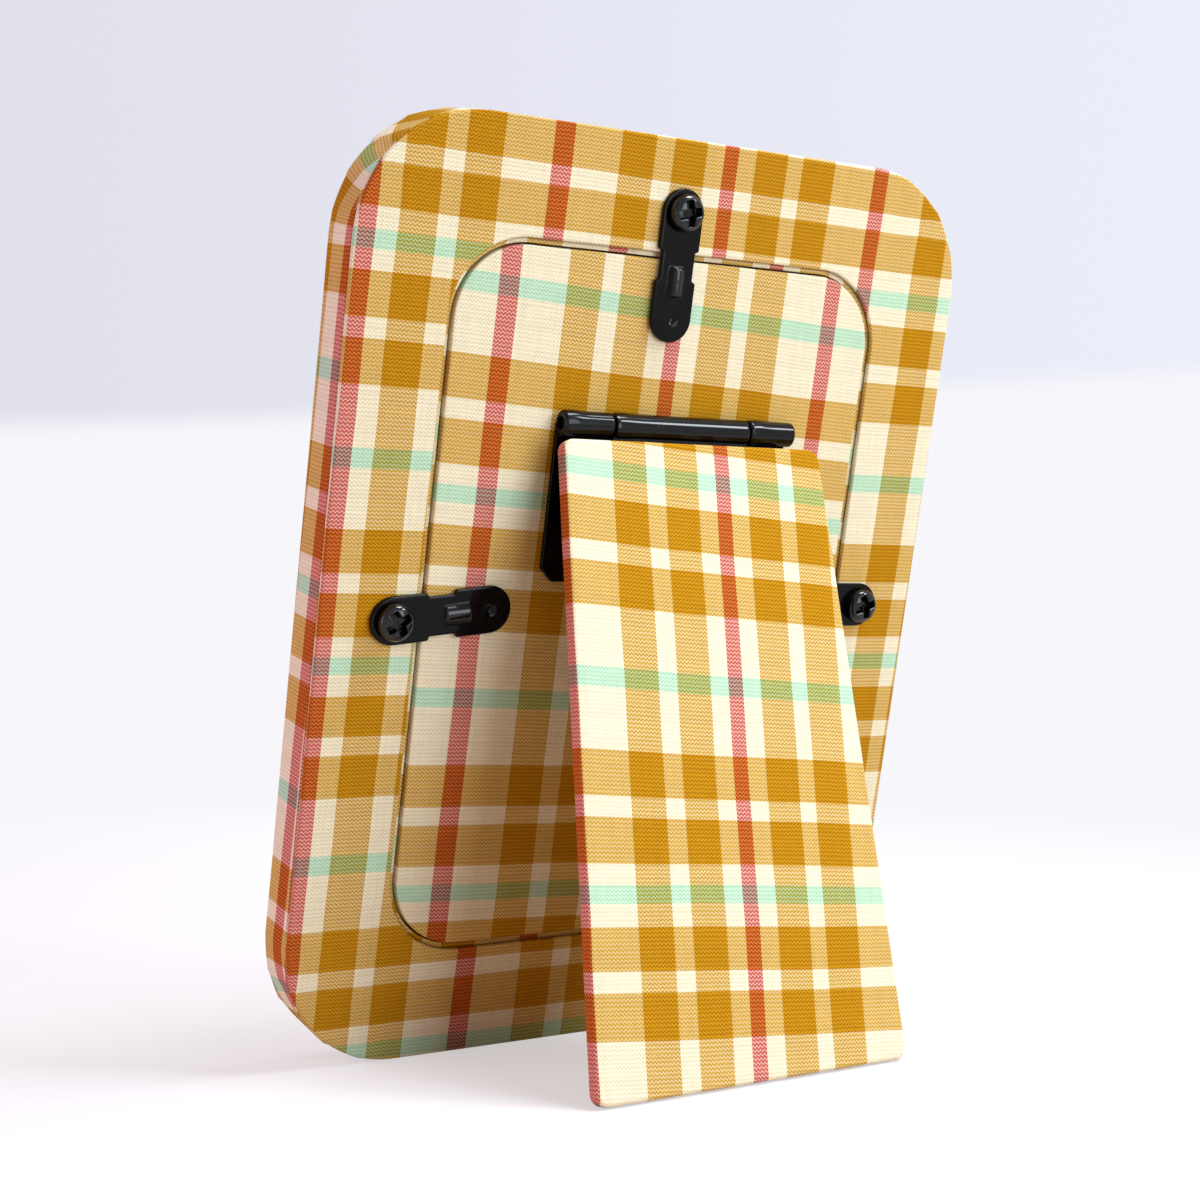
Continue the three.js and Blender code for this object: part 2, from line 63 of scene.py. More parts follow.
Colour = tuple[float, float, float]
Point2 = tuple[float, float]
Point3 = tuple[float, float, float]
Faces = list[tuple[int, ...]]


class Body(Enum):
    """The bodies that pieces ride on."""

    FRAME = "frame"
    LEG = "leg"
    TOP_BUTTON = "top_button"
    LEFT_BUTTON = "left_button"
    RIGHT_BUTTON = "right_button"


class Slot(Enum):
    """The record's material slots."""

    PLAID_COTTON = "plaid_cotton"
    BLACK_STEEL = "black_steel"
    FIBREBOARD = "fibreboard"
    GREY_CARD = "grey_card"
    CLEAR_GLASS = "clear_glass"
    PHOTO_PAPER = "photo_paper"
    LINING_PAPER = "lining_paper"


class Facing(Enum):
    """Which way the visible face of a covered board looks."""

    BACK = 1.0
    FRONT = -1.0


class Edge(Enum):
    """Which edge of a board a cloth folds over: its outer edge, or the edge of an opening in it."""

    OUTER = 1.0
    OPENING = -1.0


class Signal:
    """One output socket of a node tree, on which arithmetic adds Math nodes."""

    def __init__(self, graph: "Graph", socket: bpy.types.NodeSocket) -> None:
        """Keeps the socket and the graph that it belongs to."""
        self.graph = graph
        self.socket = socket

    def __add__(self, other: "Value") -> "Signal":
        """Adds a number or signal."""
        return self.graph.math("ADD", self, other)

    def __radd__(self, other: "Value") -> "Signal":
        """Adds to a number."""
        return self.graph.math("ADD", other, self)

    def __sub__(self, other: "Value") -> "Signal":
        """Subtracts a number or signal."""
        return self.graph.math("SUBTRACT", self, other)

    def __rsub__(self, other: "Value") -> "Signal":
        """Subtracts from a number."""
        return self.graph.math("SUBTRACT", other, self)

    def __mul__(self, other: "Value") -> "Signal":
        """Multiplies by a number or signal."""
        return self.graph.math("MULTIPLY", self, other)

    def __rmul__(self, other: "Value") -> "Signal":
        """Multiplies a number."""
        return self.graph.math("MULTIPLY", other, self)

    def __truediv__(self, other: "Value") -> "Signal":
        """Divides by a number or signal."""
        return self.graph.math("DIVIDE", self, other)

    def __pow__(self, other: "Value") -> "Signal":
        """Raises to a power."""
        return self.graph.math("POWER", self, other)


Value = float | Signal | Sequence[float]


class Graph:
    """A shader or geometry node tree, filled by one method for any node and a few short forms."""

    def __init__(self, tree: bpy.types.NodeTree) -> None:
        """Keeps the tree that nodes are added to."""
        self.tree = tree

    def add(
        self,
        kind: str,
        settings: Mapping[str, Any] | None = None,
        sockets: Mapping[str | int, Any] | None = None,
    ) -> bpy.types.Node:
        """Adds a node of any type.

        Args:
            kind: The node's type, such as ShaderNodeMath.
            settings: Its own settings, set first. "ramp" and "stops" set a ramp's interpolation and stops.
            sockets: Values or signals for its input sockets, by identifier, name or index.

        Returns:
            The new node.
        """
        node = self.tree.nodes.new(kind)
        for key, value in (settings or {}).items():
            if key == "stops":
                self._set_stops(node.color_ramp, value)
            elif key == "ramp":
                node.color_ramp.interpolation = value
            else:
                setattr(node, key, value)
        for key, value in (sockets or {}).items():
            self.feed(self._find(node.inputs, key), value)
        return node

    def signal(
        self,
        kind: str,
        settings: Mapping[str, Any] | None = None,
        sockets: Mapping[str | int, Any] | None = None,
        output: str | int = 0,
    ) -> Signal:
        """Adds a node and gives one of its outputs.

        Args:
            kind: The node's type.
            settings: The node's own settings.
            sockets: Values or signals for its input sockets.
            output: The identifier, name or index of the output.

        Returns:
            The output as a signal.
        """
        return self.output(self.add(kind, settings, sockets), output)

    def output(self, node: bpy.types.Node, key: str | int = 0) -> Signal:
        """Gives one output of a node as a signal."""
        return Signal(self, self._find(node.outputs, key))

    def feed(self, socket: bpy.types.NodeSocket, value: Any) -> None:
        """Links a signal to an input socket, or sets its value.

        Args:
            socket: The input socket.
            value: A signal, or the value to set.
        """
        if isinstance(value, Signal):
            self.tree.links.new(value.socket, socket)
        else:
            socket.default_value = value

    def math(self, operation: str, *values: Value) -> Signal:
        """Adds a Math node on numbers and signals."""
        return self.signal("ShaderNodeMath", {"operation": operation}, dict(enumerate(values)))

    def vector(self, operation: str, *values: Value) -> Signal:
        """Adds a Vector Math node on vectors."""
        return self.signal("ShaderNodeVectorMath", {"operation": operation}, dict(enumerate(values)))

    def clamp(self, value: Signal) -> Signal:
        """Limits a value to the range 0 to 1."""
        return self.signal("ShaderNodeClamp", {}, {"Value": value})

    def smooth(self, value: Value, low: Value, high: Value) -> Signal:
        """Rises smoothly from 0 at low to 1 at high."""
        limits = {"Value": value, "From Min": low, "From Max": high}
        return self.signal("ShaderNodeMapRange", {"interpolation_type": "SMOOTHSTEP"}, limits, "Result")

    def mix(self, share: Value, first: Any, second: Any, blend: str = "MIX") -> Signal:
        """Mixes two colours.

        Args:
            share: How much of the second colour, from 0 to 1.
            first: A colour or signal.
            second: A colour or signal.
            blend: The Mix node's blend type.

        Returns:
            The mixed colour.
        """
        settings = {"data_type": "RGBA", "blend_type": blend}
        sockets = {"Factor_Float": share, "A_Color": opaque(first), "B_Color": opaque(second)}
        return self.signal("ShaderNodeMix", settings, sockets, "Result_Color")

    def ramp(self, value: Signal, stops: Sequence[tuple[float, Colour]], kind: str = "LINEAR") -> Signal:
        """Reads a colour from a ramp.

        Args:
            value: Where on the ramp, from 0 to 1.
            stops: Positions and colours.
            kind: The ramp's interpolation.

        Returns:
            The colour there.
        """
        return self.signal("ShaderNodeValToRGB", {"ramp": kind, "stops": stops}, {"Fac": value}, "Color")

    @staticmethod
    def _set_stops(ramp: bpy.types.ColorRamp, stops: Sequence[tuple[float, Colour]]) -> None:
        """Replaces a new ramp's two stops.

        Args:
            ramp: The ramp.
            stops: Positions and colours.
        """
        while len(ramp.elements) < len(stops):
            ramp.elements.new(1.0)
        for element, (position, colour) in zip(ramp.elements, stops):
            element.position = position
            element.color = opaque(colour)

    @staticmethod
    def _find(sockets: Any, key: str | int) -> bpy.types.NodeSocket:
        """Finds one socket.

        Args:
            sockets: A node's inputs or outputs.
            key: The socket's index, identifier or name.

        Returns:
            The socket.
        """
        if isinstance(key, int):
            return sockets[key]
        for socket in sockets:
            if socket.identifier == key:
                return socket
        return sockets[key]


class Finish(Graph):
    """A material's node tree, with its surface shader."""

    def __init__(self, slot: Slot, variant: str = "") -> None:
        """Starts an empty material.

        Args:
            slot: The slot that it is named for.
            variant: What sets it apart within the slot.
        """
        self.material = bpy.data.materials.new(slot.value + variant)
        self.material.use_nodes = True
        super().__init__(self.material.node_tree)
        self.tree.nodes.clear()

    def place(self) -> Signal:
        """Gives the point on the piece, in metres."""
        return self.signal("ShaderNodeTexCoord", output="Object")

    def noise(
        self, at: Signal, scale: float, detail: float = 3.0, stretch: Point3 = (1.0, 1.0, 1.0)
    ) -> Signal:
        """Reads a noise texture.

        Args:
            at: Where to read it.
            scale: Cells to the metre.
            detail: Octaves.
            stretch: More or fewer cells along each axis.

        Returns:
            The noise, from 0 to 1.
        """
        spread = self.vector("MULTIPLY", at, stretch)
        sockets = {"Vector": spread, "Scale": scale, "Detail": detail}
        return self.signal("ShaderNodeTexNoise", {}, sockets, "Fac")

    def bump(self, height: Signal, strength: float, depth: float) -> Signal:
        """Turns a height into a normal."""
        sockets = {"Height": height, "Strength": strength, "Distance": depth}
        return self.signal("ShaderNodeBump", {}, sockets, "Normal")

    def surface(self, **sockets: Any) -> bpy.types.Material:
        """Ends the tree in a Principled shader.

        Args:
            sockets: Values or signals by socket name, with underscores for spaces.

        Returns:
            The finished material.
        """
        named = {name.replace("_", " "): value for name, value in sockets.items()}
        shader = self.signal("ShaderNodeBsdfPrincipled", {}, named, "BSDF")
        self.add("ShaderNodeOutputMaterial", {}, {"Surface": shader})
        return self.material


def opaque(colour: Any) -> Any:
    """Adds an alpha of 1 to a plain colour, and leaves a signal as it is."""
    return colour if isinstance(colour, Signal) else (*colour, 1.0)


@dataclass(frozen=True)
class Sett:
    """One direction's stripe widths, from one accent stripe to the next, and its yarns' spacing."""

    accent: float
    wide: float
    ochre: float
    narrow: float
    pitch: float
    unevenness: float

    @property
    def half_repeat(self) -> float:
        """The distance from one accent stripe to the next."""
        return self.accent + self.wide + 2 * self.ochre + 2 * self.narrow

    def stops(self, ground: Colour, ochre: Colour, accent: Colour) -> list[tuple[float, Colour]]:
        """Gives the stripes as ramp stops.

        Args:
            ground: The colour of the ground's yarns.
            ochre: The colour of the ochre stripes.
            accent: The colour of the accent stripes.

        Returns:
            Where each stripe starts, from 0 to 1, and its colour.
        """
        widths = [
            (self.accent / 2, accent),
            (self.wide, ground),
            (self.ochre, ochre),
            (self.narrow, ground),
            (self.ochre, ochre),
            (self.narrow, ground),
            (self.accent / 2, accent),
        ]
        stops = []
        start = 0.0
        for width, colour in widths:
            stops.append((start / self.half_repeat, colour))
            start += width
        return stops


@dataclass(frozen=True)
class PlaidCotton:
    """Woven cotton in cream and ochre, with rust stripes in the warp and mint stripes in the weft, and
    painted shade between its yarns.
    """

    cream: Colour = (0.94, 0.908, 0.766)
    ochre: Colour = (0.65, 0.392, 0.022)
    rust: Colour = (0.628, 0.091, 0.089)
    mint: Colour = (0.47, 0.85, 0.7)
    warp: Sett = Sett(
        accent=4.5 * MM,
        wide=12.1 * MM,
        ochre=9.2 * MM,
        narrow=4.7 * MM,
        pitch=0.5 * MM,
        unevenness=0.05,
    )
    weft: Sett = Sett(
        accent=4.3 * MM,
        wide=13.5 * MM,
        ochre=9.8 * MM,
        narrow=4.6 * MM,
        pitch=0.45 * MM,
        unevenness=0.08,
    )
    zigzag: float = 1.5
    row_drift: float = 1.0
    row_drift_scale: float = 420.0
    # Painted shade: each weft row's shade is painted into the colour a little below its crest, as if lit
    # from above.
    shade_lag: float = 1.3
    contrast: float = 0.5
    crossing_softness: float = 0.5
    # Painted shade: how much of the darker, multiplied colour of both yarns lies everywhere, how much more
    # follows the row shade, and how far the row shade darkens the colour.
    even_gap_shade: float = 0.28
    row_gap_shade: float = 0.7
    pit_shade: float = 0.16
    slub: float = 0.16
    slub_scale: float = 140.0
    wander: float = 0.7 * MM
    wander_scale: float = 26.0
    roughness: float = 0.85
    pit_roughness: float = 0.12
    relief: float = 0.3
    relief_depth: float = 0.1 * MM
    gloss: float = 0.06

    def material(self) -> bpy.types.Material:
        """Builds the cloth's material, which reads the cloth map.

        Returns:
            The material.
        """
        finish = Finish(Slot.PLAID_COTTON)
        across, along = self._cloth_place(finish)
        swing = finish.math("SINE", across * (math.pi / self.warp.pitch))
        flat = finish.signal("ShaderNodeCombineXYZ", {}, {"X": across, "Y": along})
        drift = finish.noise(flat, self.row_drift_scale, detail=1.0) - 0.5
        row = along * (math.pi / self.weft.pitch) + self.zigzag * swing + self.row_drift * drift
        # Painted shade: where each row's shade falls, turned from its crest as if lit from above.
        painted_row_shade = 0.5 + 0.5 * finish.math("SINE", row + self.shade_lag)
        softness = self.crossing_softness
        warp_over = finish.smooth(finish.math("SINE", row), -softness, softness)
        warp_share = 0.5 + self.contrast * (warp_over - 0.5)
        warp_yarn = self._yarn(finish, across, along, self.warp, self.rust)
        weft_yarn = self._yarn(finish, along, across, self.weft, self.mint)
        # Painted shade: the colour turns towards the product of both yarns, darker and more saturated, and
        # most where the row shade falls.
        painted_gap_shade = self.even_gap_shade + self.row_gap_shade * painted_row_shade
        upper = finish.mix(warp_share, weft_yarn, warp_yarn)
        colour = finish.mix(painted_gap_shade, upper, finish.mix(1.0, warp_yarn, weft_yarn, "MULTIPLY"))
        # The base colour carries the painted row shade; the same row shade also roughens the cloth and gives
        # its bump.
        return finish.surface(
            Base_Color=finish.mix(1.0, colour, 1.0 - self.pit_shade * painted_row_shade, "MULTIPLY"),
            Roughness=self.roughness + self.pit_roughness * painted_row_shade,
            Normal=finish.bump(1.0 - painted_row_shade, self.relief, self.relief_depth),
            Specular_IOR_Level=self.gloss,
        )

    def _cloth_place(self, finish: Finish) -> tuple[Signal, Signal]:
        """Finds the place on the cloth, with a hand-laid cloth's slight wander.

        Args:
            finish: The material's tree.

        Returns:
            How far across the warp it is, and how far along it.
        """
        flat = finish.signal("ShaderNodeUVMap", {"uv_map": CLOTH_MAP}, {}, "UV")
        sockets = {"Vector": flat, "Scale": self.wander_scale, "Detail": 1.0}
        drift = finish.signal("ShaderNodeTexNoise", {"noise_dimensions": "2D"}, sockets, "Color")
        centred = finish.vector("SUBTRACT", drift, (0.5, 0.5, 0.5))
        shift = finish.vector("MULTIPLY", centred, (self.wander,) * 3)
        split = finish.add("ShaderNodeSeparateXYZ", {}, {"Vector": finish.vector("ADD", flat, shift)})
        return finish.output(split, "X"), finish.output(split, "Y")

    def _yarn(self, finish: Finish, across: Signal, along: Signal, sett: Sett, accent: Colour) -> Signal:
        """Gives the yarn's colour at a place, a little lighter or darker from yarn to yarn and along each.

        Args:
            finish: The material's tree.
            across: How far across the yarns the place is.
            along: How far along them it is.
            sett: The stripes that the yarns make.
            accent: The colour of the accent stripes.

        Returns:
            The colour.
        """
        whole = finish.math("SNAP", across, sett.pitch)
        turned_back = finish.math("PINGPONG", whole + sett.pitch / 2, sett.half_repeat) / sett.half_repeat
        dyed = finish.ramp(turned_back, sett.stops(self.cream, self.ochre, accent), "CONSTANT")
        settings = {"noise_dimensions": "1D"}
        yarn = finish.signal("ShaderNodeTexWhiteNoise", settings, {"W": whole / MM}, "Value")
        slub_place = {"X": across / sett.pitch, "Y": along * self.slub_scale}
        spot = finish.signal("ShaderNodeCombineXYZ", {}, slub_place)
        sockets = {"Vector": spot, "Scale": 1.0, "Detail": 2.0}
        slub = finish.signal("ShaderNodeTexNoise", {"noise_dimensions": "2D"}, sockets, "Fac")
        tone = 1.0 + sett.unevenness * (yarn - 0.5) + self.slub * (slub - 0.5)
        return finish.mix(1.0, dyed, tone, "MULTIPLY")


@dataclass(frozen=True)
class BlackSteel:
    """Black semi-gloss coated steel with fine scratches, polished by wear where it stands proud.

    A place stands proud by its height above the axes' face, from where polish starts to where it is full.
    """

    variant: str
    axes: "Axes"
    polish: float = 0.0
    polish_start: float = 1.9 * MM
    polish_full: float = 2.5 * MM
    coating: Colour = (0.001, 0.001, 0.0013)
    rubbed: Colour = (0.0085, 0.0075, 0.008)
    mottle_scale: float = 420.0
    mottle_wear: float = 0.25
    scratch_scale: float = 900.0
    scratch_wear: float = 0.35
    scratch_run: Point3 = (6.0, 0.35, 0.35)
    scratch_edge: Point2 = (0.64, 0.72)
    cross_run: Point3 = (0.35, 0.5, 5.0)
    cross_edge: Point2 = (0.66, 0.74)
    grain_scale: float = 5200.0
    grain_mottle: float = 0.6
    relief: float = 0.1
    relief_depth: float = 0.05 * MM
    roughness: float = 0.15
    mottle_roughness: float = 0.12
    scratch_roughness: float = 0.1
    gloss: float = 0.05
    coat: float = 0.16
    coat_roughness: float = 0.05

    def material(self) -> bpy.types.Material:
        """Builds the material.

        Returns:
            The material.
        """
        finish = Finish(Slot.BLACK_STEEL, self.variant)
        place = finish.place()
        from_face = finish.vector("SUBTRACT", place, tuple(self.axes.origin))
        sockets = {0: from_face, 1: tuple(self.axes.outward)}
        height = finish.signal("ShaderNodeVectorMath", {"operation": "DOT_PRODUCT"}, sockets, "Value")
        proud = finish.smooth(height, self.polish_start, self.polish_full)
        mottle = finish.noise(place, self.mottle_scale, detail=4.0)
        lines = finish.noise(place, self.scratch_scale, detail=2.0, stretch=self.scratch_run)
        cross_lines = finish.noise(place, self.scratch_scale, detail=2.0, stretch=self.cross_run)
        scratch = finish.smooth(lines, *self.scratch_edge) + finish.smooth(cross_lines, *self.cross_edge)
        grain = finish.noise(place, self.grain_scale, detail=2.0)
        wear = finish.clamp(self.mottle_wear * mottle + self.scratch_wear * scratch)
        uneven = self.mottle_roughness * mottle
        return finish.surface(
            Base_Color=finish.mix(wear, self.coating, self.rubbed),
            Roughness=self.roughness + uneven + self.scratch_roughness * scratch,
            Normal=finish.bump(grain + self.grain_mottle * mottle, self.relief, self.relief_depth),
            Specular_IOR_Level=self.gloss,
            Coat_Weight=self.coat + self.polish * proud,
            Coat_Roughness=self.coat_roughness,
        )


@dataclass(frozen=True)
class PressedFibre:
    """Board or card pressed from fibres: two tones, the size of its flecks and how long they are."""

    slot: Slot
    pale: Colour
    dark: Colour
    flecks: float
    stretch: Point3 = (1.0, 1.0, 1.0)
    flecks_per_cloud: float = 25.0
    fleck_share: float = 0.7
    cloud_share: float = 0.3
    tone_edge: Point2 = (0.35, 0.66)
    roughness: float = 0.82
    fleck_roughness: float = 0.14
    relief: float = 0.25
    relief_depth: float = 0.08 * MM
    gloss: float = 0.25

    def material(self) -> bpy.types.Material:
        """Builds the material.

        Returns:
            The material.
        """
        finish = Finish(self.slot)
        place = finish.place()
        fibre = finish.noise(place, self.flecks, detail=5.0, stretch=self.stretch)
        cloud = finish.noise(place, self.flecks / self.flecks_per_cloud, detail=2.0)
        tone = finish.smooth(fibre * self.fleck_share + cloud * self.cloud_share, *self.tone_edge)
        return finish.surface(
            Base_Color=finish.mix(tone, self.dark, self.pale),
            Roughness=self.roughness + self.fleck_roughness * fibre,
            Normal=finish.bump(fibre, self.relief, self.relief_depth),
            Specular_IOR_Level=self.gloss,
        )


@dataclass(frozen=True)
class ClearGlass:
    """Clear picture glass with a trace of dust."""

    clean: Colour = (0.97, 0.985, 0.98)
    dusty: Colour = (0.985, 0.99, 0.988)
    dust_scale: float = 900.0
    roughness: float = 0.015
    dust_roughness: float = 0.03
    refraction: float = 1.45

    def material(self) -> bpy.types.Material:
        """Builds the material.

        Returns:
            The material.
        """
        finish = Finish(Slot.CLEAR_GLASS)
        dust = finish.noise(finish.place(), self.dust_scale, detail=4.0)
        return finish.surface(
            Base_Color=finish.mix(dust, self.clean, self.dusty),
            Roughness=self.roughness + self.dust_roughness * dust,
            Transmission_Weight=1.0,
            IOR=self.refraction,
        )


@dataclass(frozen=True)
class PhotoPaper:
    """A plain sample print: a white margin round a soft wash of grey and sand."""

    sky: Colour = (0.62, 0.68, 0.72)
    sand: Colour = (0.74, 0.66, 0.54)
    pale_sand: Colour = (0.8, 0.76, 0.68)
    pale_sky: Colour = (0.78, 0.8, 0.8)
    sand_top: float = 0.42
    sky_foot: float = 0.55
    paper: Colour = (0.86, 0.85, 0.82)
    half_width: float = 43.5 * MM
    bottom: float = 42.5 * MM
    top: float = 170.0 * MM
    edge: float = 0.15 * MM
    wash: float = 0.16
    wash_scale: float = 22.0
    wash_run: Point3 = (0.4, 1.0, 1.6)
    sheen_scale: float = 1500.0
    roughness: float = 0.32
    sheen_roughness: float = 0.12
    coat: float = 0.2

    def material(self) -> bpy.types.Material:
        """Builds the material.

        Returns:
            The material.
        """
        finish = Finish(Slot.PHOTO_PAPER)
        place = finish.place()
        split = finish.add("ShaderNodeSeparateXYZ", {}, {"Vector": place})
        side, height = finish.output(split, "X"), finish.output(split, "Z")
        wash = finish.noise(place, self.wash_scale, stretch=self.wash_run)
        rise = (height - self.bottom) / (self.top - self.bottom)
        stops = [
            (0.0, self.sand),
            (self.sand_top, self.pale_sand),
            (self.sky_foot, self.pale_sky),
            (1.0, self.sky),
        ]
        tones = finish.ramp(rise + self.wash * (wash - 0.5), stops)
        within = finish.smooth(finish.math("ABSOLUTE", side), self.half_width, self.half_width - self.edge)
        above = finish.smooth(height, self.bottom, self.bottom + self.edge)
        below = finish.smooth(height, self.top, self.top - self.edge)
        sheen = finish.noise(place, self.sheen_scale, detail=2.0)
        return finish.surface(
            Base_Color=finish.mix(within * above * below, self.paper, tones),
            Roughness=self.roughness + self.sheen_roughness * sheen,
            Coat_Weight=self.coat,
        )


def node_points(node: str) -> np.ndarray:
    """Gives a CAD node's vertices.

    Args:
        node: The node's name.

    Returns:
        One row for each vertex.
    """
    mesh = frame["nodes"][node].data
    points = np.empty(len(mesh.vertices) * 3)
    mesh.vertices.foreach_get("co", points)
    return points.reshape(-1, 3)


def joint(name: str) -> dict[str, Any]:
    """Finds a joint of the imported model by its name."""
    return next(entry for entry in frame["joints"] if entry["name"] == name)


@dataclass(frozen=True)
class Extent:
    """The lowest and highest place of a node along a sub-assembly's axes."""

    low: np.ndarray
    high: np.ndarray

    @property
    def size(self) -> np.ndarray:
        """The lengths along the three axes."""
        return self.high - self.low

    @property
    def middle(self) -> np.ndarray:
        """The point halfway along each axis."""
        return (self.low + self.high) / 2


@dataclass(frozen=True)
class Axes:
    """A flat sub-assembly's directions, seen from behind: right, up and outward to the viewer."""

    origin: np.ndarray
    outward: np.ndarray

    @property
    def turn(self) -> np.ndarray:
        """The three directions as rows."""
        right = np.array([-1.0, 0.0, 0.0])
        return np.stack([right, np.cross(self.outward, right), self.outward])

    def place(self, points: np.ndarray) -> np.ndarray:
        """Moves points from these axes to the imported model's frame."""
        return self.origin + points @ self.turn

    def local(self, points: np.ndarray) -> np.ndarray:
        """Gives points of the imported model's frame along these axes."""
        return (points - self.origin) @ self.turn.T

    def extent(self, node: str) -> Extent:
        """Measures a CAD node along these axes."""
        points = self.local(node_points(node))
        return Extent(points.min(axis=0), points.max(axis=0))

    def shifted(self, right: float, up: float, outward: float) -> "Axes":
        """The same directions from another origin."""
        return Axes(self.place(np.array([right, up, outward])), self.outward)

    def matrix(self) -> Matrix:
        """The axes as a matrix that places a mesh built along them."""
        turn = Matrix(self.turn.T.tolist()).to_4x4()
        return Matrix.Translation(Vector(self.origin)) @ turn

    @staticmethod
    def of_frame() -> "Axes":
        """Finds the leaning frame's axes.

        Returns:
            The axes, from the middle of its lowest edge and its back face.
        """
        outward = np.array(joint("top_button_swivel")["axis"])
        upright = Axes(np.zeros(3), outward / np.linalg.norm(outward))
        lowest = upright.extent("front_fabric").low[1]
        back = upright.extent("back_ring_fabric").high[2]
        return upright.shifted(0.0, lowest, back)

    @staticmethod
    def of_leg() -> "Axes":
        """Finds the open leg's axes.

        Returns:
            The axes, from the middle of its hinge.
        """
        mesh = frame["nodes"]["leg_board"].data
        largest = max(mesh.polygons, key=lambda polygon: polygon.area)
        outward = np.array(largest.normal)
        return Axes(np.array(joint("leg_hinge")["pos_m"]), outward * np.sign(outward[1]))


@dataclass(frozen=True)
class Pleats:
    """Folds of cloth round a board's corners: where they break, how flat they lie, how far they overlap."""

    breaks: tuple[tuple[float, ...], ...]
    flatness: float
    overlap: float

    def at(self, corner: int, share: float) -> tuple[float, float, float]:
        """Finds the fold at a place on a corner.

        Args:
            corner: Which corner.
            share: How far round it, from 0 to 1.

        Returns:
            Where the fold starts and ends, and how far between them the place is.
        """
        stops = self.breaks[corner]
        for start, end in zip(stops, stops[1:]):
            if share <= end:
                return start, end, (share - start) / (end - start)
        return stops[-2], stops[-1], 1.0


@dataclass(frozen=True)
class Loop:
    """Points once round an outline, with their outward directions."""

    points: np.ndarray
    normals: np.ndarray


@dataclass(frozen=True)
class Outline:
    """A convex outline with round corners, its corners counter-clockwise seen from behind."""

    corners: tuple[Point2, ...]
    radius: float
    pleats: Pleats | None = None

    @staticmethod
    def rectangle(
        low: Sequence[float], high: Sequence[float], radius: float, pleats: Pleats | None = None
    ) -> "Outline":
        """Makes a rectangle's outline.

        Args:
            low: Its lowest corner.
            high: Its highest corner.
            radius: The radius of its corners.
            pleats: The folds of the cloth round its corners.

        Returns:
            The outline, from its lower left corner.
        """
        corners = ((low[0], low[1]), (high[0], low[1]), (high[0], high[1]), (low[0], high[1]))
        return Outline(corners, radius, pleats)

    def _corner(self, index: int) -> tuple[np.ndarray, np.ndarray, np.ndarray]:
        """Looks at one corner.

        Args:
            index: Which corner.

        Returns:
            The corner, and the outward directions of the edges before and after it.
        """
        count = len(self.corners)
        before, here, after = (np.array(self.corners[(index + step) % count]) for step in (-1, 0, 1))
        arriving = (here - before) / np.linalg.norm(here - before)
        leaving = (after - here) / np.linalg.norm(after - here)
        first = np.array([arriving[1], -arriving[0]])
        second = np.array([leaving[1], -leaving[0]])
        return here, first, second

    def _centre(self, index: int) -> np.ndarray:
        """Gives the middle of a corner's arc."""
        corner, first, second = self._corner(index)
        return corner - (first + second) * self.radius / (1 + first @ second)

    def inset(self, distance: float) -> "Outline":
        """Moves every edge inwards, and keeps round corners concentric where they can be.

        Args:
            distance: How far.

        Returns:
            The smaller outline.
        """
        moved = []
        for index in range(len(self.corners)):
            corner, first, second = self._corner(index)
            moved.append(tuple(corner - (first + second) * distance / (1 + first @ second)))
        return Outline(tuple(moved), max(self.radius - distance, LEAST_RADIUS), self.pleats)

    def loop(self, sides: int, arcs: int) -> Loop:
        """Goes once round the outline.

        Args:
            sides: Steps along each straight side.
            arcs: Steps round each corner.

        Returns:
            The points and their outward directions.
        """
        points, normals = [], []
        for index in range(len(self.corners)):
            arc_points, arc_normals = self._arc(index, arcs)
            points.extend(arc_points)
            normals.extend(arc_normals)
            following = (index + 1) % len(self.corners)
            _, first, _ = self._corner(following)
            end = self._centre(following) + first * self.radius
            for step in range(1, sides):
                points.append(arc_points[-1] + (end - arc_points[-1]) * step / sides)
                normals.append(first)
        return Loop(np.array(points), np.array(normals))

    def _arc(self, index: int, steps: int) -> tuple[list[np.ndarray], list[np.ndarray]]:
        """Rounds one corner, in straight folds where the cloth is pleated.

        Args:
            index: Which corner.
            steps: Steps round it.

        Returns:
            The points and their outward directions.
        """
        _, first, second = self._corner(index)
        centre = self._centre(index)
        sweep = math.acos(max(-1.0, min(1.0, float(first @ second))))
        points, normals = [], []
        for step in range(steps + 1):
            share = step / steps
            normal = turned(first, sweep * share)
            point = centre + normal * self.radius
            if self.pleats is not None:
                start, end, within = self.pleats.at(index, share)
                from_point = centre + turned(first, sweep * start) * self.radius
                to_point = centre + turned(first, sweep * end) * self.radius
                chord = from_point + (to_point - from_point) * within
                lift = self.pleats.overlap * (within - 0.5) * math.sin(math.pi * share)
                point = point + (chord - point) * self.pleats.flatness + normal * lift
            points.append(point)
            normals.append(normal)
        return points, normals

    def area(self, beyond: float) -> float:
        """Measures a rectangle's outline, grown by a margin with its corners rounded off.

        Args:
            beyond: The margin.

        Returns:
            The area.
        """
        corners = np.array(self.corners)
        width, height = corners.max(axis=0) - corners.min(axis=0) + 2 * beyond
        radius = self.radius + beyond
        return float(width * height - (4 - math.pi) * max(radius, 0.0) ** 2)


def turned(direction: np.ndarray, angle: float) -> np.ndarray:
    """Turns a flat direction counter-clockwise.

    Args:
        direction: The direction, right and up.
        angle: How far, in radians.

    Returns:
        The turned direction.
    """
    cosine, sine = math.cos(angle), math.sin(angle)
    x, y = direction
    return np.array([cosine * x - sine * y, sine * x + cosine * y])


def bands(rows: int, count: int) -> Faces:
    """Joins closed loops of vertices, each to the next, by four-sided faces.

    Args:
        rows: How many loops there are.
        count: How many vertices each has.

    Returns:
        The faces.
    """
    faces = []
    for row in range(rows - 1):
        near, far = row * count, (row + 1) * count
        for step in range(count):
            following = (step + 1) % count
            faces.append((near + step, near + following, far + following, far + step))
    return faces


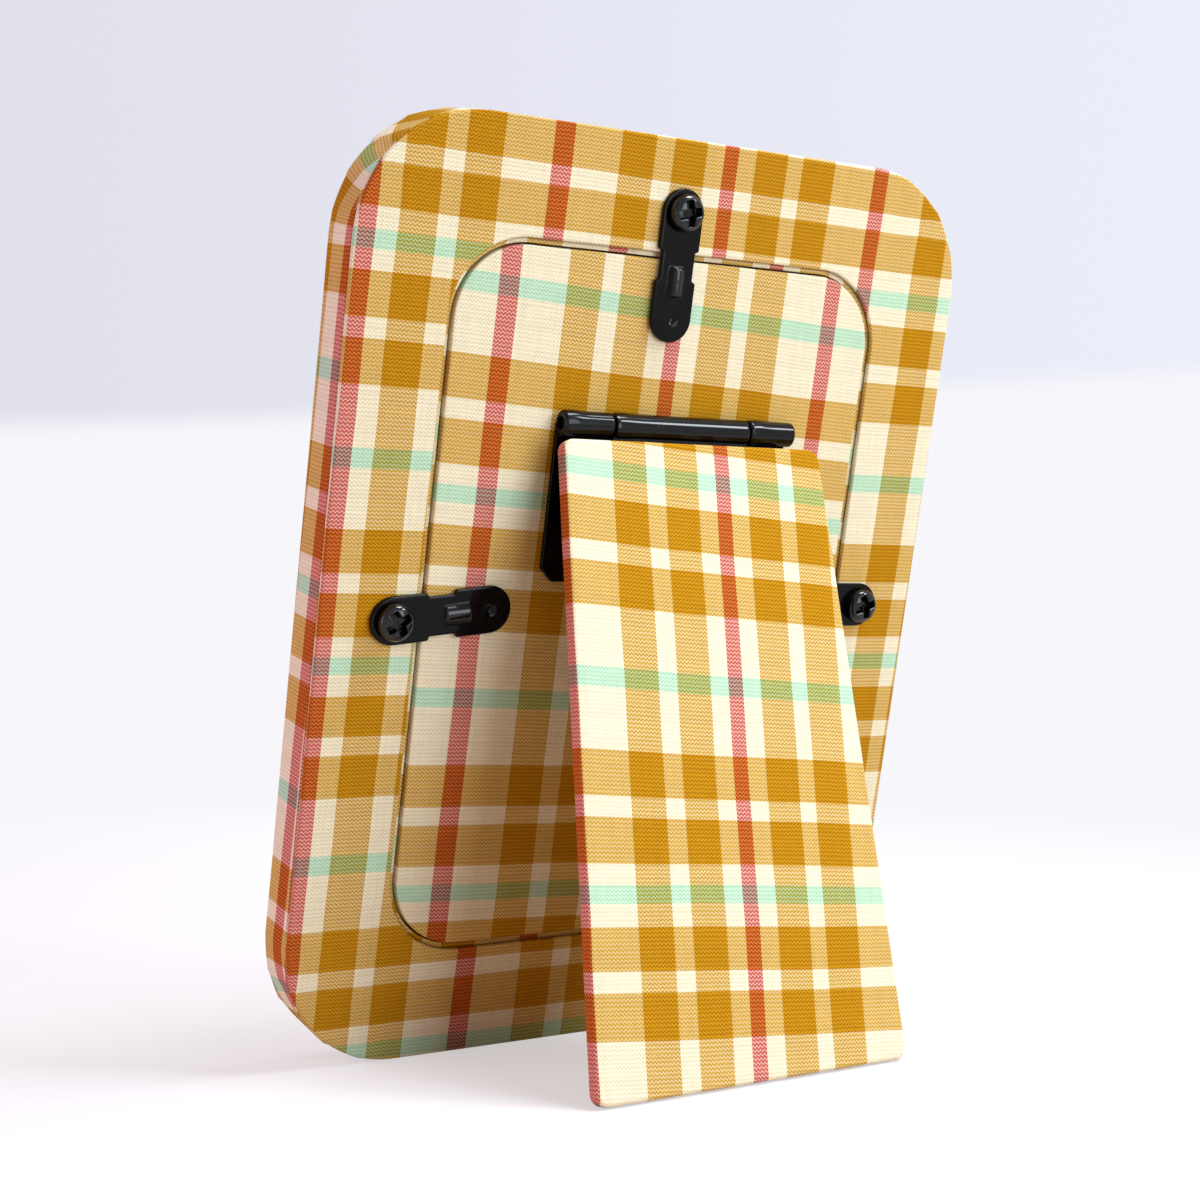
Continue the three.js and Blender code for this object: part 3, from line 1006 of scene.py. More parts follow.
@dataclass(frozen=True)
class Lay:
    """How a cloth lies on its board: a place on a rust and a mint stripe, and how these lean."""

    warp: Point2
    warp_lean: float
    weft: Point2
    weft_lean: float
    weft_ease: float = 1.0

    def on_cloth(self, flat: np.ndarray) -> np.ndarray:
        """Turns places on the board, folds laid out flat, into places on the cloth.

        Args:
            flat: One row for each place, right and up.

        Returns:
            One row for each place, across the warp and along it.
        """
        right, up = flat[:, 0], flat[:, 1]
        across = right - self.warp[0] - self.warp_lean * (up - self.warp[1])
        along = up - self.weft[1] - self.weft_lean * (right - self.weft[0])
        return np.stack([across, along * self.weft_ease], axis=1)


@dataclass(frozen=True)
class Ring:
    """One loop of a cloth: how far inside an outline, at what depth, and how far past it on the cloth."""

    outline: Outline
    inset: float
    depth: float
    past: float


@dataclass(frozen=True)
class Fold:
    """A cloth's way over a board's edge: a round fold, down the edge, and its hem turned in behind."""

    outline: Outline
    edge: Edge
    facing: Facing
    radius: float
    face: float
    foot: float
    foot_radius: float = 0.4 * MM
    hem: float = 0.0
    steps: int = 6
    wall_steps: int = 4
    edge_ease: float = 1.0
    flat_margin: float = 0.6 * MM

    @property
    def reach(self) -> float:
        """Measures the cloth past the outline.

        Returns:
            How far it reaches, laid out flat.
        """
        drop = abs(self.face - self.foot) - self.radius
        reach = self.radius * (math.pi / 2 - 1) + drop
        if self.hem:
            reach += self.hem + self.foot_radius * (math.pi / 2 - 2)
        return reach

    def rings(self) -> list[Ring]:
        """Lists the cloth's loops.

        Returns:
            The loops, from the face to the hem.
        """
        side, down = self.edge.value, -self.facing.value
        margin = self.radius + self.flat_margin
        rings = [self._ring(side * margin, self.face, -margin)]
        for step in range(self.steps + 1):
            angle = math.pi / 2 * step / self.steps
            inset = side * self.radius * (1 - math.sin(angle))
            depth = self.face + down * self.radius * (1 - math.cos(angle))
            rings.append(self._ring(inset, depth, self.radius * (angle - 1)))
        wall_top = self.face + down * self.radius
        wall_foot = self.foot - down * (self.foot_radius if self.hem else 0.0)
        start = self.radius * (math.pi / 2 - 1)
        for step in range(1, self.wall_steps + 1):
            depth = wall_top + (wall_foot - wall_top) * step / self.wall_steps
            rings.append(self._ring(0.0, depth, start + abs(depth - wall_top)))
        if self.hem:
            rings.extend(self._hem_rings(side, down, wall_foot, rings[-1].past * side))
        return rings

    def _hem_rings(self, side: float, down: float, wall_foot: float, start: float) -> list[Ring]:
        """Turns the cloth in behind the board.

        Args:
            side: The edge's sign.
            down: The sign of the way from the face to the foot.
            wall_foot: The depth at which the turn starts.
            start: How far past the outline it starts on the cloth.

        Returns:
            The hem's loops.
        """
        rings = []
        radius = self.foot_radius
        for step in range(1, self.steps + 1):
            angle = math.pi / 2 * step / self.steps
            inset = side * radius * (1 - math.cos(angle))
            depth = wall_foot + down * radius * math.sin(angle)
            rings.append(self._ring(inset, depth, start + radius * angle))
        end = start + radius * math.pi / 2 + self.hem - radius
        rings.append(self._ring(side * self.hem, self.foot, end))
        return rings

    def _ring(self, inset: float, depth: float, past: float) -> Ring:
        """Makes one loop, its cloth eased where it lies past the outline."""
        eased = past * self.edge_ease if past > 0 else past
        return Ring(self.outline, inset, depth, self.edge.value * eased)


@dataclass(frozen=True)
class Covering:
    """A plaid cloth over one board: its loops in order, and how the plaid lies on it."""

    name: str
    axes: Axes
    lay: Lay
    rings: tuple[Ring, ...]
    facing: Facing
    closed_face: bool
    sides: int = 26
    arcs: int = 30
    thickness: float = 0.38 * MM
    slack: float = 0.07 * MM
    face_slack: float = 0.5
    sideways_scale: float = 110.0
    outwards_scale: float = 75.0
    outwards_start: Point3 = (7.0, 3.0, 5.0)

    def build(self, material: bpy.types.Material) -> bpy.types.Object:
        """Makes the cloth's mesh with its cloth map, on which pleats count as smooth.

        Args:
            material: The plaid.

        Returns:
            The cloth.
        """
        positions, places = [], []
        for ring in self.rings:
            shaped = ring.outline.inset(ring.inset).loop(self.sides, self.arcs)
            edge = Outline(ring.outline.corners, ring.outline.radius).loop(self.sides, self.arcs)
            depth = np.full((len(shaped.points), 1), ring.depth)
            positions.append(self._ease(np.hstack([shaped.points, depth]), shaped.normals))
            places.append(self.lay.on_cloth(edge.points + edge.normals * ring.past))
        count = len(positions[0])
        faces = bands(len(positions), count)
        if self.closed_face:
            last = (len(positions) - 1) * count
            faces.append(tuple(last + step for step in range(count)))
        if self.facing is Facing.FRONT:
            faces = [tuple(reversed(face)) for face in faces]
        cloth = make_object(self.name, self.axes.place(np.vstack(positions)), faces, material)
        self._map(cloth.data, np.vstack(places))
        wall = cloth.modifiers.new("thickness", "SOLIDIFY")
        wall.thickness = self.thickness
        wall.offset = -1.0
        return cloth

    def _ease(self, points: np.ndarray, normals: np.ndarray) -> np.ndarray:
        """Adds the slight unevenness of cloth glued by hand.

        Args:
            points: The points of one loop.
            normals: Their outward directions.

        Returns:
            The moved points.
        """
        eased = points.copy()
        for index, point in enumerate(points):
            sideways = noise.noise(Vector(point) * self.sideways_scale)
            outwards = noise.noise(Vector(point) * self.outwards_scale + Vector(self.outwards_start))
            eased[index, :2] += normals[index] * self.slack * sideways
            eased[index, 2] += self.slack * self.face_slack * outwards * self.facing.value
        return eased

    @staticmethod
    def _map(mesh: bpy.types.Mesh, places: np.ndarray) -> None:
        """Stores each vertex's place on the cloth.

        Args:
            mesh: The cloth's mesh.
            places: One row for each vertex.
        """
        layer = mesh.uv_layers.new(name=CLOTH_MAP)
        corners = np.empty(len(mesh.loops), dtype=np.int32)
        mesh.loops.foreach_get("vertex_index", corners)
        layer.data.foreach_set("uv", places[corners].astype(np.float32).ravel())


def make_object(
    name: str,
    points: np.ndarray,
    faces: Sequence[Sequence[int]],
    material: bpy.types.Material,
) -> bpy.types.Object:
    """Makes a smooth-shaded mesh object at the origin.

    Args:
        name: The piece's name.
        points: Its vertices.
        faces: Its faces, outwards.
        material: Its finish.

    Returns:
        The object.
    """
    mesh = bpy.data.meshes.new(name)
    mesh.from_pydata(points.tolist(), [], faces)
    mesh.materials.append(material)
    mesh.polygons.foreach_set("use_smooth", [True] * len(mesh.polygons))
    mesh.update()
    piece = bpy.data.objects.new(name, mesh)
    bpy.context.scene.collection.objects.link(piece)
    return piece


def settle(piece: bpy.types.Object, body: Body, slot: Slot, *nodes: str) -> bpy.types.Object:
    """Rides a finished piece on its body, in place of its CAD nodes, and reports it.

    Args:
        piece: The piece.
        body: The body that it moves with.
        slot: The material slot of its finish; not used.
        nodes: The CAD nodes that it stands for.

    Returns:
        The piece.
    """
    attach(piece, body.value)
    if nodes:
        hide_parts(*nodes)
    LOG.info("%s on %s: %d faces", piece.name, body.value, len(piece.data.polygons))
    return piece


def dress(material: bpy.types.Material, *nodes: str) -> None:
    """Gives CAD nodes whose shape is right a better finish.

    Args:
        material: The finish.
        nodes: The nodes' names.
    """
    for node in nodes:
        mesh = frame["nodes"][node].data
        mesh.materials.clear()
        mesh.materials.append(material)
        LOG.info("%s kept, in %s", node, material.name)


@dataclass(frozen=True)
class FrameCovers:
    """The frame's cloths: over its front and edges, its rear border and ledge, and its lift-out panel."""

    axes: Axes
    corner: float = 29 * MM
    opening_corner: float = 18 * MM
    panel_corner: float = 17 * MM
    window_corner: float = 8 * MM
    panel_margin: float = 1 * MM
    rebate: float = 10.5 * MM
    glass_clearance: float = 0.3 * MM
    front_hem: float = 13 * MM
    panel_hem: float = 12 * MM
    ledge_step: float = 0.6 * MM
    ledge_reach: float = 0.6 * MM
    ledge_edge: float = 0.8 * MM
    ledge_gap: float = 0.1 * MM
    front_round: float = 1.5 * MM
    front_ease: float = 0.85
    window_round: float = 1.2 * MM
    border_round: float = 0.5 * MM
    opening_round: float = 0.45 * MM
    ledge_round: float = 0.25 * MM
    panel_round: float = 0.4 * MM
    hem_round: float = 0.5 * MM
    edge_pleats: Pleats = Pleats(
        (
            (0.0, 0.2, 0.37, 0.6, 0.82, 1.0),
            (0.0, 0.14, 0.35, 0.55, 0.78, 1.0),
            (0.0, 0.19, 0.4, 0.62, 0.8, 1.0),
            (0.0, 0.13, 0.3, 0.5, 0.72, 0.9, 1.0),
        ),
        flatness=0.35,
        overlap=0.35 * MM,
    )
    border_pleats: Pleats = Pleats(
        (
            (0.0, 0.24, 0.55, 0.8, 1.0),
            (0.0, 0.17, 0.45, 0.73, 1.0),
            (0.0, 0.26, 0.5, 0.77, 1.0),
            (0.0, 0.18, 0.4, 0.62, 0.88, 1.0),
        ),
        flatness=0.3,
        overlap=0.2 * MM,
    )
    front_lay: Lay = Lay(
        warp=(-45.1 * MM, 100 * MM),
        warp_lean=-0.02,
        weft=(-82 * MM, 156.1 * MM),
        weft_lean=-0.01,
    )
    border_lay: Lay = Lay(
        warp=(-34.7 * MM, 205 * MM),
        warp_lean=0.0108,
        weft=(-70 * MM, 138.5 * MM),
        weft_lean=-0.0113,
        weft_ease=1.031,
    )
    ledge_lay: Lay = Lay(
        warp=(-18.2 * MM, 105 * MM),
        warp_lean=0.016,
        weft=(52 * MM, 190 * MM),
        weft_lean=-0.01,
    )
    panel_lay: Lay = Lay(
        warp=(-44.3 * MM, 175 * MM),
        warp_lean=0.0056,
        weft=(-50 * MM, 177.2 * MM),
        weft_lean=-0.05,
        weft_ease=1.015,
    )

    def build(self, material: bpy.types.Material) -> None:
        """Args:
            material: The plaid.
        """
        self._front(material)
        self._border(material)
        self._panel(material)

    def _opening(self, inset: float, corner: float) -> Outline:
        """Gives the rear opening's outline.

        Args:
            inset: How far it is moved inwards.
            corner: The radius of its corners.

        Returns:
            The outline.
        """
        panel = self.axes.extent("back_panel_fabric")
        margin = inset - self.panel_margin
        return Outline.rectangle(panel.low[:2] + margin, panel.high[:2] - margin, corner)

    def _front(self, material: bpy.types.Material) -> None:
        """Covers the picture side, the window's edge and the outer edge of the frame.

        Args:
            material: The plaid.
        """
        cover = self.axes.extent("front_fabric")
        outer = Outline.rectangle(cover.low[:2], cover.high[:2], self.corner, self.edge_pleats)
        window = self._opening(self.rebate, self.window_corner)
        window_foot = self.axes.extent("glass_pane").low[2] - self.glass_clearance
        face, back = cover.low[2], cover.high[2]
        edge = Fold(
            outer,
            Edge.OUTER,
            Facing.FRONT,
            self.front_round,
            face,
            back,
            foot_radius=self.hem_round,
            hem=self.front_hem,
            edge_ease=self.front_ease,
        )
        rim = Fold(window, Edge.OPENING, Facing.FRONT, self.window_round, face, window_foot)
        rings = (*reversed(edge.rings()), *rim.rings())
        covering = Covering("front_cloth", self.axes, self.front_lay, rings, Facing.FRONT, False)
        cloth = covering.build(material)
        settle(cloth, Body.FRAME, Slot.PLAID_COTTON, "front_fabric")
        width, height = cover.size[:2] + 2 * edge.reach
        cut = outer.area(edge.reach) - window.area(-rim.reach)

    def _border(self, material: bpy.types.Material) -> None:
        """Covers the border round the rear opening.

        Args:
            material: The plaid.
        """
        cover = self.axes.extent("back_ring_fabric")
        outer = Outline.rectangle(cover.low[:2], cover.high[:2], self.corner, self.border_pleats)
        opening = self._opening(-self.ledge_step, self.opening_corner + self.ledge_step)
        face, foot = cover.high[2], cover.low[2]
        edge = Fold(outer, Edge.OUTER, Facing.BACK, self.border_round, face, foot)
        rim = Fold(opening, Edge.OPENING, Facing.BACK, self.opening_round, face, foot)
        rings = (*reversed(edge.rings()), *rim.rings())
        covering = Covering("border_cloth", self.axes, self.border_lay, rings, Facing.BACK, False)
        cloth = covering.build(material)
        settle(cloth, Body.FRAME, Slot.PLAID_COTTON, "back_ring_fabric")
        width, height = cover.size[:2] + 2 * edge.reach
        cut = outer.area(edge.reach) - opening.area(-rim.reach)
        ledge = self._ledge(material)

    def _ledge(self, material: bpy.types.Material) -> bpy.types.Object:
        """Covers the narrow ledge inside the border, beside the panel.

        Args:
            material: The plaid.

        Returns:
            The ledge's strip of cloth.
        """
        inner = self._opening(self.ledge_reach, self.opening_corner - self.ledge_reach)
        face = self.axes.extent("front_fabric").high[2]
        foot = face - self.ledge_edge
        margin = self.ledge_reach + self.ledge_step - self.ledge_gap
        fold = Fold(inner, Edge.OPENING, Facing.BACK, self.ledge_round, face, foot, flat_margin=margin)
        rings = tuple(fold.rings())
        strip = Covering("ledge_cloth", self.axes, self.ledge_lay, rings, Facing.BACK, False)
        return settle(strip.build(material), Body.FRAME, Slot.PLAID_COTTON)

    def _panel(self, material: bpy.types.Material) -> None:
        """Covers the lift-out panel, with the hem turned in behind it.

        Args:
            material: The plaid.
        """
        cover = self.axes.extent("back_panel_fabric")
        outer = Outline.rectangle(cover.low[:2], cover.high[:2], self.panel_corner)
        face, foot = cover.high[2], cover.low[2]
        edge = Fold(
            outer,
            Edge.OUTER,
            Facing.BACK,
            self.panel_round,
            face,
            foot,
            foot_radius=self.hem_round,
            hem=self.panel_hem,
        )
        rings = tuple(reversed(edge.rings()))
        covering = Covering("panel_cloth", self.axes, self.panel_lay, rings, Facing.BACK, True)
        cloth = covering.build(material)
        settle(cloth, Body.FRAME, Slot.PLAID_COTTON, "back_panel_fabric")
        width, height = cover.size[:2] + 2 * edge.reach
        cut = outer.area(edge.reach)


@dataclass(frozen=True)
class EaselLeg:
    """The easel leg's cloth, wider at the foot than at the hinge, its hem turned in round a paper lining."""

    axes: Axes
    corner: float = 3 * MM
    corner_reach: float = 1.05
    edge_round: float = 0.9 * MM
    hem_round: float = 0.6 * MM
    hem: float = 9 * MM
    lay: Lay = Lay(
        warp=(-33.5 * MM, -4 * MM),
        warp_lean=0.0447,
        weft=(-30 * MM, -56.9 * MM),
        weft_lean=-0.0865,
    )

    def build(self, material: bpy.types.Material) -> None:
        """Args:
            material: The plaid.
        """
        cover = self.axes.extent("leg_fabric")
        outline = Outline(self._corners(cover), self.corner)
        face, foot = cover.high[2], cover.low[2]
        edge = Fold(
            outline,
            Edge.OUTER,
            Facing.BACK,
            self.edge_round,
            face,
            foot,
            foot_radius=self.hem_round,
            hem=self.hem,
        )
        rings = tuple(reversed(edge.rings()))
        cloth = Covering("leg_cloth", self.axes, self.lay, rings, Facing.BACK, True).build(material)
        settle(cloth, Body.LEG, Slot.PLAID_COTTON, "leg_fabric")
        width, height = cover.size[:2] + 2 * edge.reach
        top_width = outline.corners[2][0] - outline.corners[3][0]
        mean_width = (top_width + cover.size[0]) / 2 + 2 * edge.reach
        cut = mean_width * height - 4 * edge.reach**2

    def _corners(self, cover: Extent) -> tuple[Point2, ...]:
        """Finds the leg's four corners from its CAD node.

        Args:
            cover: The node's extent.

        Returns:
            The corners, counter-clockwise from the lower left.
        """
        points = self.axes.local(node_points("leg_fabric"))
        upper = points[points[:, 1] > cover.high[1] - self.corner * self.corner_reach]
        middle = cover.middle[0]
        rise = cover.size[1] - 2 * self.corner
        lean = (cover.size[0] / 2 - (upper[:, 0].max() - middle)) / rise
        top_half = cover.size[0] / 2 - lean * cover.size[1]
        low, high = cover.low[1], cover.high[1]
        half = cover.size[0] / 2
        return (
            (middle - half, low),
            (middle + half, low),
            (middle + top_half, high),
            (middle - top_half, high),
        )


@dataclass(frozen=True)
class TurnButton:
    """A stamped turn button: round ends, a neck between shoulders, a pressed bump and a dimple."""

    width: float = 10.8 * MM
    length: float = 34.5 * MM
    thickness: float = 1.0 * MM
    clearance: float = 0.3 * MM
    neck_width: float = 8.9 * MM
    neck_start: float = 8.1 * MM
    neck_length: float = 7.5 * MM
    shoulder: float = 0.7 * MM
    edge_round: float = 0.4 * MM
    bump_from_screw: float = 15.5 * MM
    bump_width: float = 4.0 * MM
    bump_length: float = 7.0 * MM
    bump_height: float = 1.2 * MM
    dimple_radius: float = 1.6 * MM
    dimple_depth: float = 0.65 * MM
    crown_fullness: float = 2.2
    crown_shoulder: float = 0.75
    bump_end: float = 2.0
    bump_squareness: int = 4
    dimple_wall: float = 1.5
    lanes: int = 36
    end_steps: int = 20
    shoulder_steps: int = 9
    station: float = 0.3 * MM

    def build(
        self, name: str, axes: Axes, swivel: str, tongue_degrees: float, material: bpy.types.Material
    ) -> bpy.types.Object:
        """Makes one button, turned about its screw.

        Args:
            name: The piece's name.
            axes: The frame's axes.
            swivel: The joint that it turns on.
            tongue_degrees: Which way its tongue points, counter-clockwise from the right.
            material: Its finish.

        Returns:
            The button.
        """
        screw = axes.local(np.array(joint(swivel)["pos_m"]))
        stations = self._stations()
        lanes = np.sin(np.linspace(-math.pi / 2, math.pi / 2, self.lanes + 1))
        along, half = stations[:, None], self._half_width(stations)[:, None]
        side = half * lanes[None, :]
        along = np.broadcast_to(along, side.shape)
        top = self.clearance + self._height(along, side)
        bottom = np.full_like(top, self.clearance)
        direction = turned(np.array([1.0, 0.0]), math.radians(tongue_degrees))
        aside = turned(direction, math.pi / 2)
        layers = []
        for height in (top, bottom):
            flat = screw[:2] + along[..., None] * direction + side[..., None] * aside
            layers.append(np.concatenate([flat, height[..., None]], axis=2).reshape(-1, 3))
        rows, columns = side.shape
        button = make_object(name, axes.place(np.vstack(layers)), self._faces(rows, columns), material)
        tidy_mesh(button.data)
        return button

    def _stations(self) -> np.ndarray:
        """Lists places along the button, close together where its edge turns.

        Returns:
            How far from its screw each is.
        """
        radius = self.width / 2
        last = self.length - self.width
        neck_end = self.neck_start + self.neck_length
        round_end = radius * (1 - np.cos(np.linspace(0.0, math.pi / 2, self.end_steps)))
        straight = np.arange(0.0, last, self.station)
        slope = np.linspace(0.0, self.shoulder, self.shoulder_steps)
        shoulders = [start + slope for start in (self.neck_start, neck_end - self.shoulder)]
        places = np.concatenate([round_end - radius, straight, *shoulders, last + radius - round_end])
        return np.unique(np.round(places, PLACE_DECIMALS))

    def _half_width(self, along: np.ndarray) -> np.ndarray:
        """Gives half the button's width.

        Args:
            along: Places along the button.

        Returns:
            Half the width at each.
        """
        radius = self.width / 2
        last = self.length - self.width
        past_end = np.maximum(-along, along - last)
        rounded = np.sqrt(np.maximum(radius**2 - np.maximum(past_end, 0.0) ** 2, 0.0))
        neck_end = self.neck_start + self.neck_length
        entering = ease((along - self.neck_start) / self.shoulder)
        leaving = ease((neck_end - along) / self.shoulder)
        return rounded - (self.width - self.neck_width) / 2 * entering * leaving

    def _height(self, along: np.ndarray, side: np.ndarray) -> np.ndarray:
        """Gives the top of the button: a round edge, the pressed bump and the dimple.

        Args:
            along: Places along the button.
            side: Places across it.

        Returns:
            The height at each.
        """
        radius = self.width / 2
        last = self.length - self.width
        past_end = np.maximum(np.maximum(-along, along - last), 0.0)
        from_end = radius - np.hypot(past_end, side)
        from_side = self._half_width(along) - np.abs(side)
        inside = np.clip(np.where(past_end > 0, from_end, from_side), 0.0, self.edge_round)
        drop = self.edge_round - np.sqrt(self.edge_round**2 - (self.edge_round - inside) ** 2)
        bump_side = side / (self.bump_width / 2)
        bump_along = (along - self.bump_from_screw) / (self.bump_length / 2)
        crown = np.clip(1 - np.abs(bump_side) ** self.crown_fullness, 0.0, 1.0) ** self.crown_shoulder
        bump = crown * ease(self.bump_end * (1 - bump_along**self.bump_squareness))
        dimple = ease(self.dimple_wall * (1 - np.hypot(along - last, side) / self.dimple_radius))
        return self.thickness - drop + self.bump_height * bump - self.dimple_depth * dimple

    @staticmethod
    def _faces(rows: int, columns: int) -> Faces:
        """Joins the top, the bottom and the edge between them.

        Args:
            rows: How many places along the button.
            columns: How many across it.

        Returns:
            The faces.
        """
        under = rows * columns
        faces = []
        for row in range(rows - 1):
            for column in range(columns - 1):
                here = row * columns + column
                quad = (here, here + columns, here + columns + 1, here + 1)
                faces.append(quad)
                faces.append(tuple(under + index for index in reversed(quad)))
            for column in (0, columns - 1):
                here = row * columns + column
                faces.append((here, here + columns, under + here + columns, under + here))
        return faces


def ease(value: np.ndarray) -> np.ndarray:
    """Rises smoothly from 0 to 1 as a value does."""
    held = np.clip(value, 0.0, 1.0)
    return held * held * (3 - 2 * held)


def tidy_mesh(mesh: bpy.types.Mesh) -> None:
    """Merges a closed mesh's doubles and points its faces outwards.

    Args:
        mesh: The mesh.
    """
    work = bmesh.new()
    work.from_mesh(mesh)
    bmesh.ops.remove_doubles(work, verts=work.verts, dist=SAME_PLACE)
    bmesh.ops.dissolve_degenerate(work, edges=work.edges, dist=NO_LENGTH)
    bmesh.ops.recalc_face_normals(work, faces=work.faces)
    work.to_mesh(mesh)
    work.free()


class NodeShape:
    """A Geometry Nodes tree with named sizes, run once to give a plain mesh."""

    def __init__(self, name: str, sizes: Mapping[str, float]) -> None:
        """Starts a tree.

        Args:
            name: The tree's name.
            sizes: Its named inputs and their values.
        """
        self.tree = bpy.data.node_groups.new(name, "GeometryNodeTree")
        self.graph = Graph(self.tree)
        face = self.tree.interface
        face.new_socket("Points", in_out="INPUT", socket_type="NodeSocketGeometry")
        face.new_socket("Finish", in_out="INPUT", socket_type="NodeSocketMaterial")
        for size in sizes:
            face.new_socket(size, in_out="INPUT", socket_type="NodeSocketFloat")
        face.new_socket("Geometry", in_out="OUTPUT", socket_type="NodeSocketGeometry")
        self.sizes = dict(sizes)
        self.entry = self.graph.add("NodeGroupInput")

    def size(self, name: str) -> Signal:
        """Gives one named input."""
        return self.graph.output(self.entry, name)

    def lathe(self, steps: int, spokes: int) -> tuple[Signal, Signal, Signal]:
        """Makes a grid to wrap round an axis.

        Args:
            steps: Faces along the profile.
            spokes: Faces round the axis.

        Returns:
            The grid, how far along the profile a vertex is, from 0 to 1, and its angle.
        """
        sizes = {"Size X": 1.0, "Size Y": 1.0, "Vertices X": steps + 1, "Vertices Y": spokes + 1}
        grid = self.graph.signal("GeometryNodeMeshGrid", {}, sizes, "Mesh")
        position = self.graph.signal("GeometryNodeInputPosition")
        split = self.graph.add("ShaderNodeSeparateXYZ", {}, {"Vector": position})
        along = self.graph.output(split, "X") + 0.5
        angle = (self.graph.output(split, "Y") + 0.5) * (2 * math.pi)
        return grid, along, angle

    def finish(self, grid: Signal, x: Signal, y: Signal, z: Signal) -> None:
        """Moves the grid to its shape, closes it, sets it on the points and gives it its finish.

        Args:
            grid: The grid.
            x: Each vertex's place along X.
            y: Each vertex's place along Y.
            z: Each vertex's place along Z.
        """
        graph = self.graph
        position = graph.signal("ShaderNodeCombineXYZ", {}, {"X": x, "Y": y, "Z": z})
        shaped = graph.signal("GeometryNodeSetPosition", {}, {"Geometry": grid, "Position": position})
        sockets = {"Geometry": shaped, "Distance": SEAM_GAP}
        closed = graph.signal("GeometryNodeMergeByDistance", {}, sockets)
        smooth = graph.signal("GeometryNodeSetShadeSmooth", {}, {"Geometry": closed})
        settings = {"data_type": "FLOAT_VECTOR"}
        facing = graph.signal("GeometryNodeInputNamedAttribute", settings, {"Name": "facing"})
        turn = graph.signal("FunctionNodeEulerToRotation", {}, {"Euler": facing})
        sockets = {"Points": graph.output(self.entry, "Points"), "Instance": smooth, "Rotation": turn}
        placed = graph.signal("GeometryNodeInstanceOnPoints", {}, sockets, "Instances")
        real = graph.signal("GeometryNodeRealizeInstances", {}, {"Geometry": placed})
        sockets = {"Geometry": real, "Material": graph.output(self.entry, "Finish")}
        painted = graph.signal("GeometryNodeSetMaterial", {}, sockets)
        graph.add("NodeGroupOutput", {}, {"Geometry": painted})

    def mesh(self, name: str, places: Sequence[Matrix], material: bpy.types.Material) -> bpy.types.Object:
        """Runs the tree on a set of places.

        Args:
            name: The piece's name.
            places: Where each copy goes and how it is turned.
            material: The finish.

        Returns:
            One plain mesh object.
        """
        points = np.array([place.translation for place in places])
        piece = make_object(name, points, [], material)
        facing = piece.data.attributes.new("facing", "FLOAT_VECTOR", "POINT")
        for entry, place in zip(facing.data, places):
            entry.vector = place.to_euler()
        modifier = piece.modifiers.new("shape", "NODES")
        values: dict[str, Any] = {**self.sizes, "Finish": material}
        modifier.node_group = self.tree
        for socket in self.tree.interface.items_tree:
            if socket.in_out == "INPUT" and socket.name in values:
                modifier[socket.identifier] = values[socket.name]
        depsgraph = bpy.context.evaluated_depsgraph_get()
        made = bpy.data.meshes.new_from_object(piece.evaluated_get(depsgraph), depsgraph=depsgraph)
        piece.modifiers.clear()
        piece.data = made
        made.name = name
        made.materials.clear()
        made.materials.append(material)
        made.polygons.foreach_set("material_index", [0] * len(made.polygons))
        tidy_mesh(made)
        return piece


@dataclass(frozen=True)
class DomedFastener:
    """A screw or rivet with a domed head, a cross recess of any depth, and a plain shank.

    The profile runs over the dome, in under the head, down the shank and across its tip. The splits say
    where along the way, counted in domes, each of these ends.
    """

    head_radius: float
    head_height: float
    shank_radius: float
    shank_length: float
    recess_span: float = 0.0
    recess_slot: float = 0.0
    recess_depth: float = 0.0
    recess_wall: float = 0.22 * MM
    recess_end: float = 3.0
    crown: float = 0.62
    splits: tuple[float, ...] = (1.0, 1.15, 1.45, 1.5)
    steps: int = 66
    spokes: int = 96

    def shape(self, name: str) -> NodeShape:
        """Builds the fastener's tree.

        Args:
            name: The tree's name.

        Returns:
            The tree, ready to run.
        """
        sizes = {
            "Head Radius": self.head_radius,
            "Head Height": self.head_height,
            "Shank Radius": self.shank_radius,
            "Shank Length": self.shank_length,
            "Recess Span": self.recess_span,
            "Recess Slot": self.recess_slot,
            "Recess Depth": self.recess_depth,
        }
        shape = NodeShape(name, sizes)
        graph = shape.graph
        grid, along, angle = shape.lathe(self.steps, self.spokes)
        way = along * self.splits[-1]
        dome = graph.clamp(way) * (math.pi / 2)
        under, shank, tip = (
            graph.clamp((way - start) / (end - start)) for start, end in zip(self.splits, self.splits[1:])
        )
        head = shape.size("Head Radius") * graph.math("SINE", dome) ** self.crown
        radius = (head - (shape.size("Head Radius") - shape.size("Shank Radius")) * under) * (1.0 - tip)
        x = radius * graph.math("COSINE", angle)
        y = radius * graph.math("SINE", angle)
        upright = graph.math("MAXIMUM", graph.math("COSINE", dome), 0.0)
        rise = shape.size("Head Height") * upright**self.crown
        recess = graph.math("MAXIMUM", self._slot(shape, x, y), self._slot(shape, y, x)) * (1.0 - under)
        z = rise - shape.size("Recess Depth") * recess - shape.size("Shank Length") * shank
        shape.finish(grid, x, y, z)
        return shape

    def _slot(self, shape: NodeShape, across: Signal, along: Signal) -> Signal:
        """Marks one arm of the cross recess.

        Args:
            shape: The fastener's tree.
            across: How far across the arm a vertex is.
            along: How far along the arm it is.

        Returns:
            1 within the arm, which falls to 0 at its walls.
        """
        graph = shape.graph
        wall = self.recess_wall
        half_slot, half_span = shape.size("Recess Slot") / 2, shape.size("Recess Span") / 2
        beside = graph.smooth(graph.math("ABSOLUTE", across), half_slot, half_slot - wall)
        within = graph.smooth(graph.math("ABSOLUTE", along), half_span, half_span - self.recess_end * wall)
        return beside * within


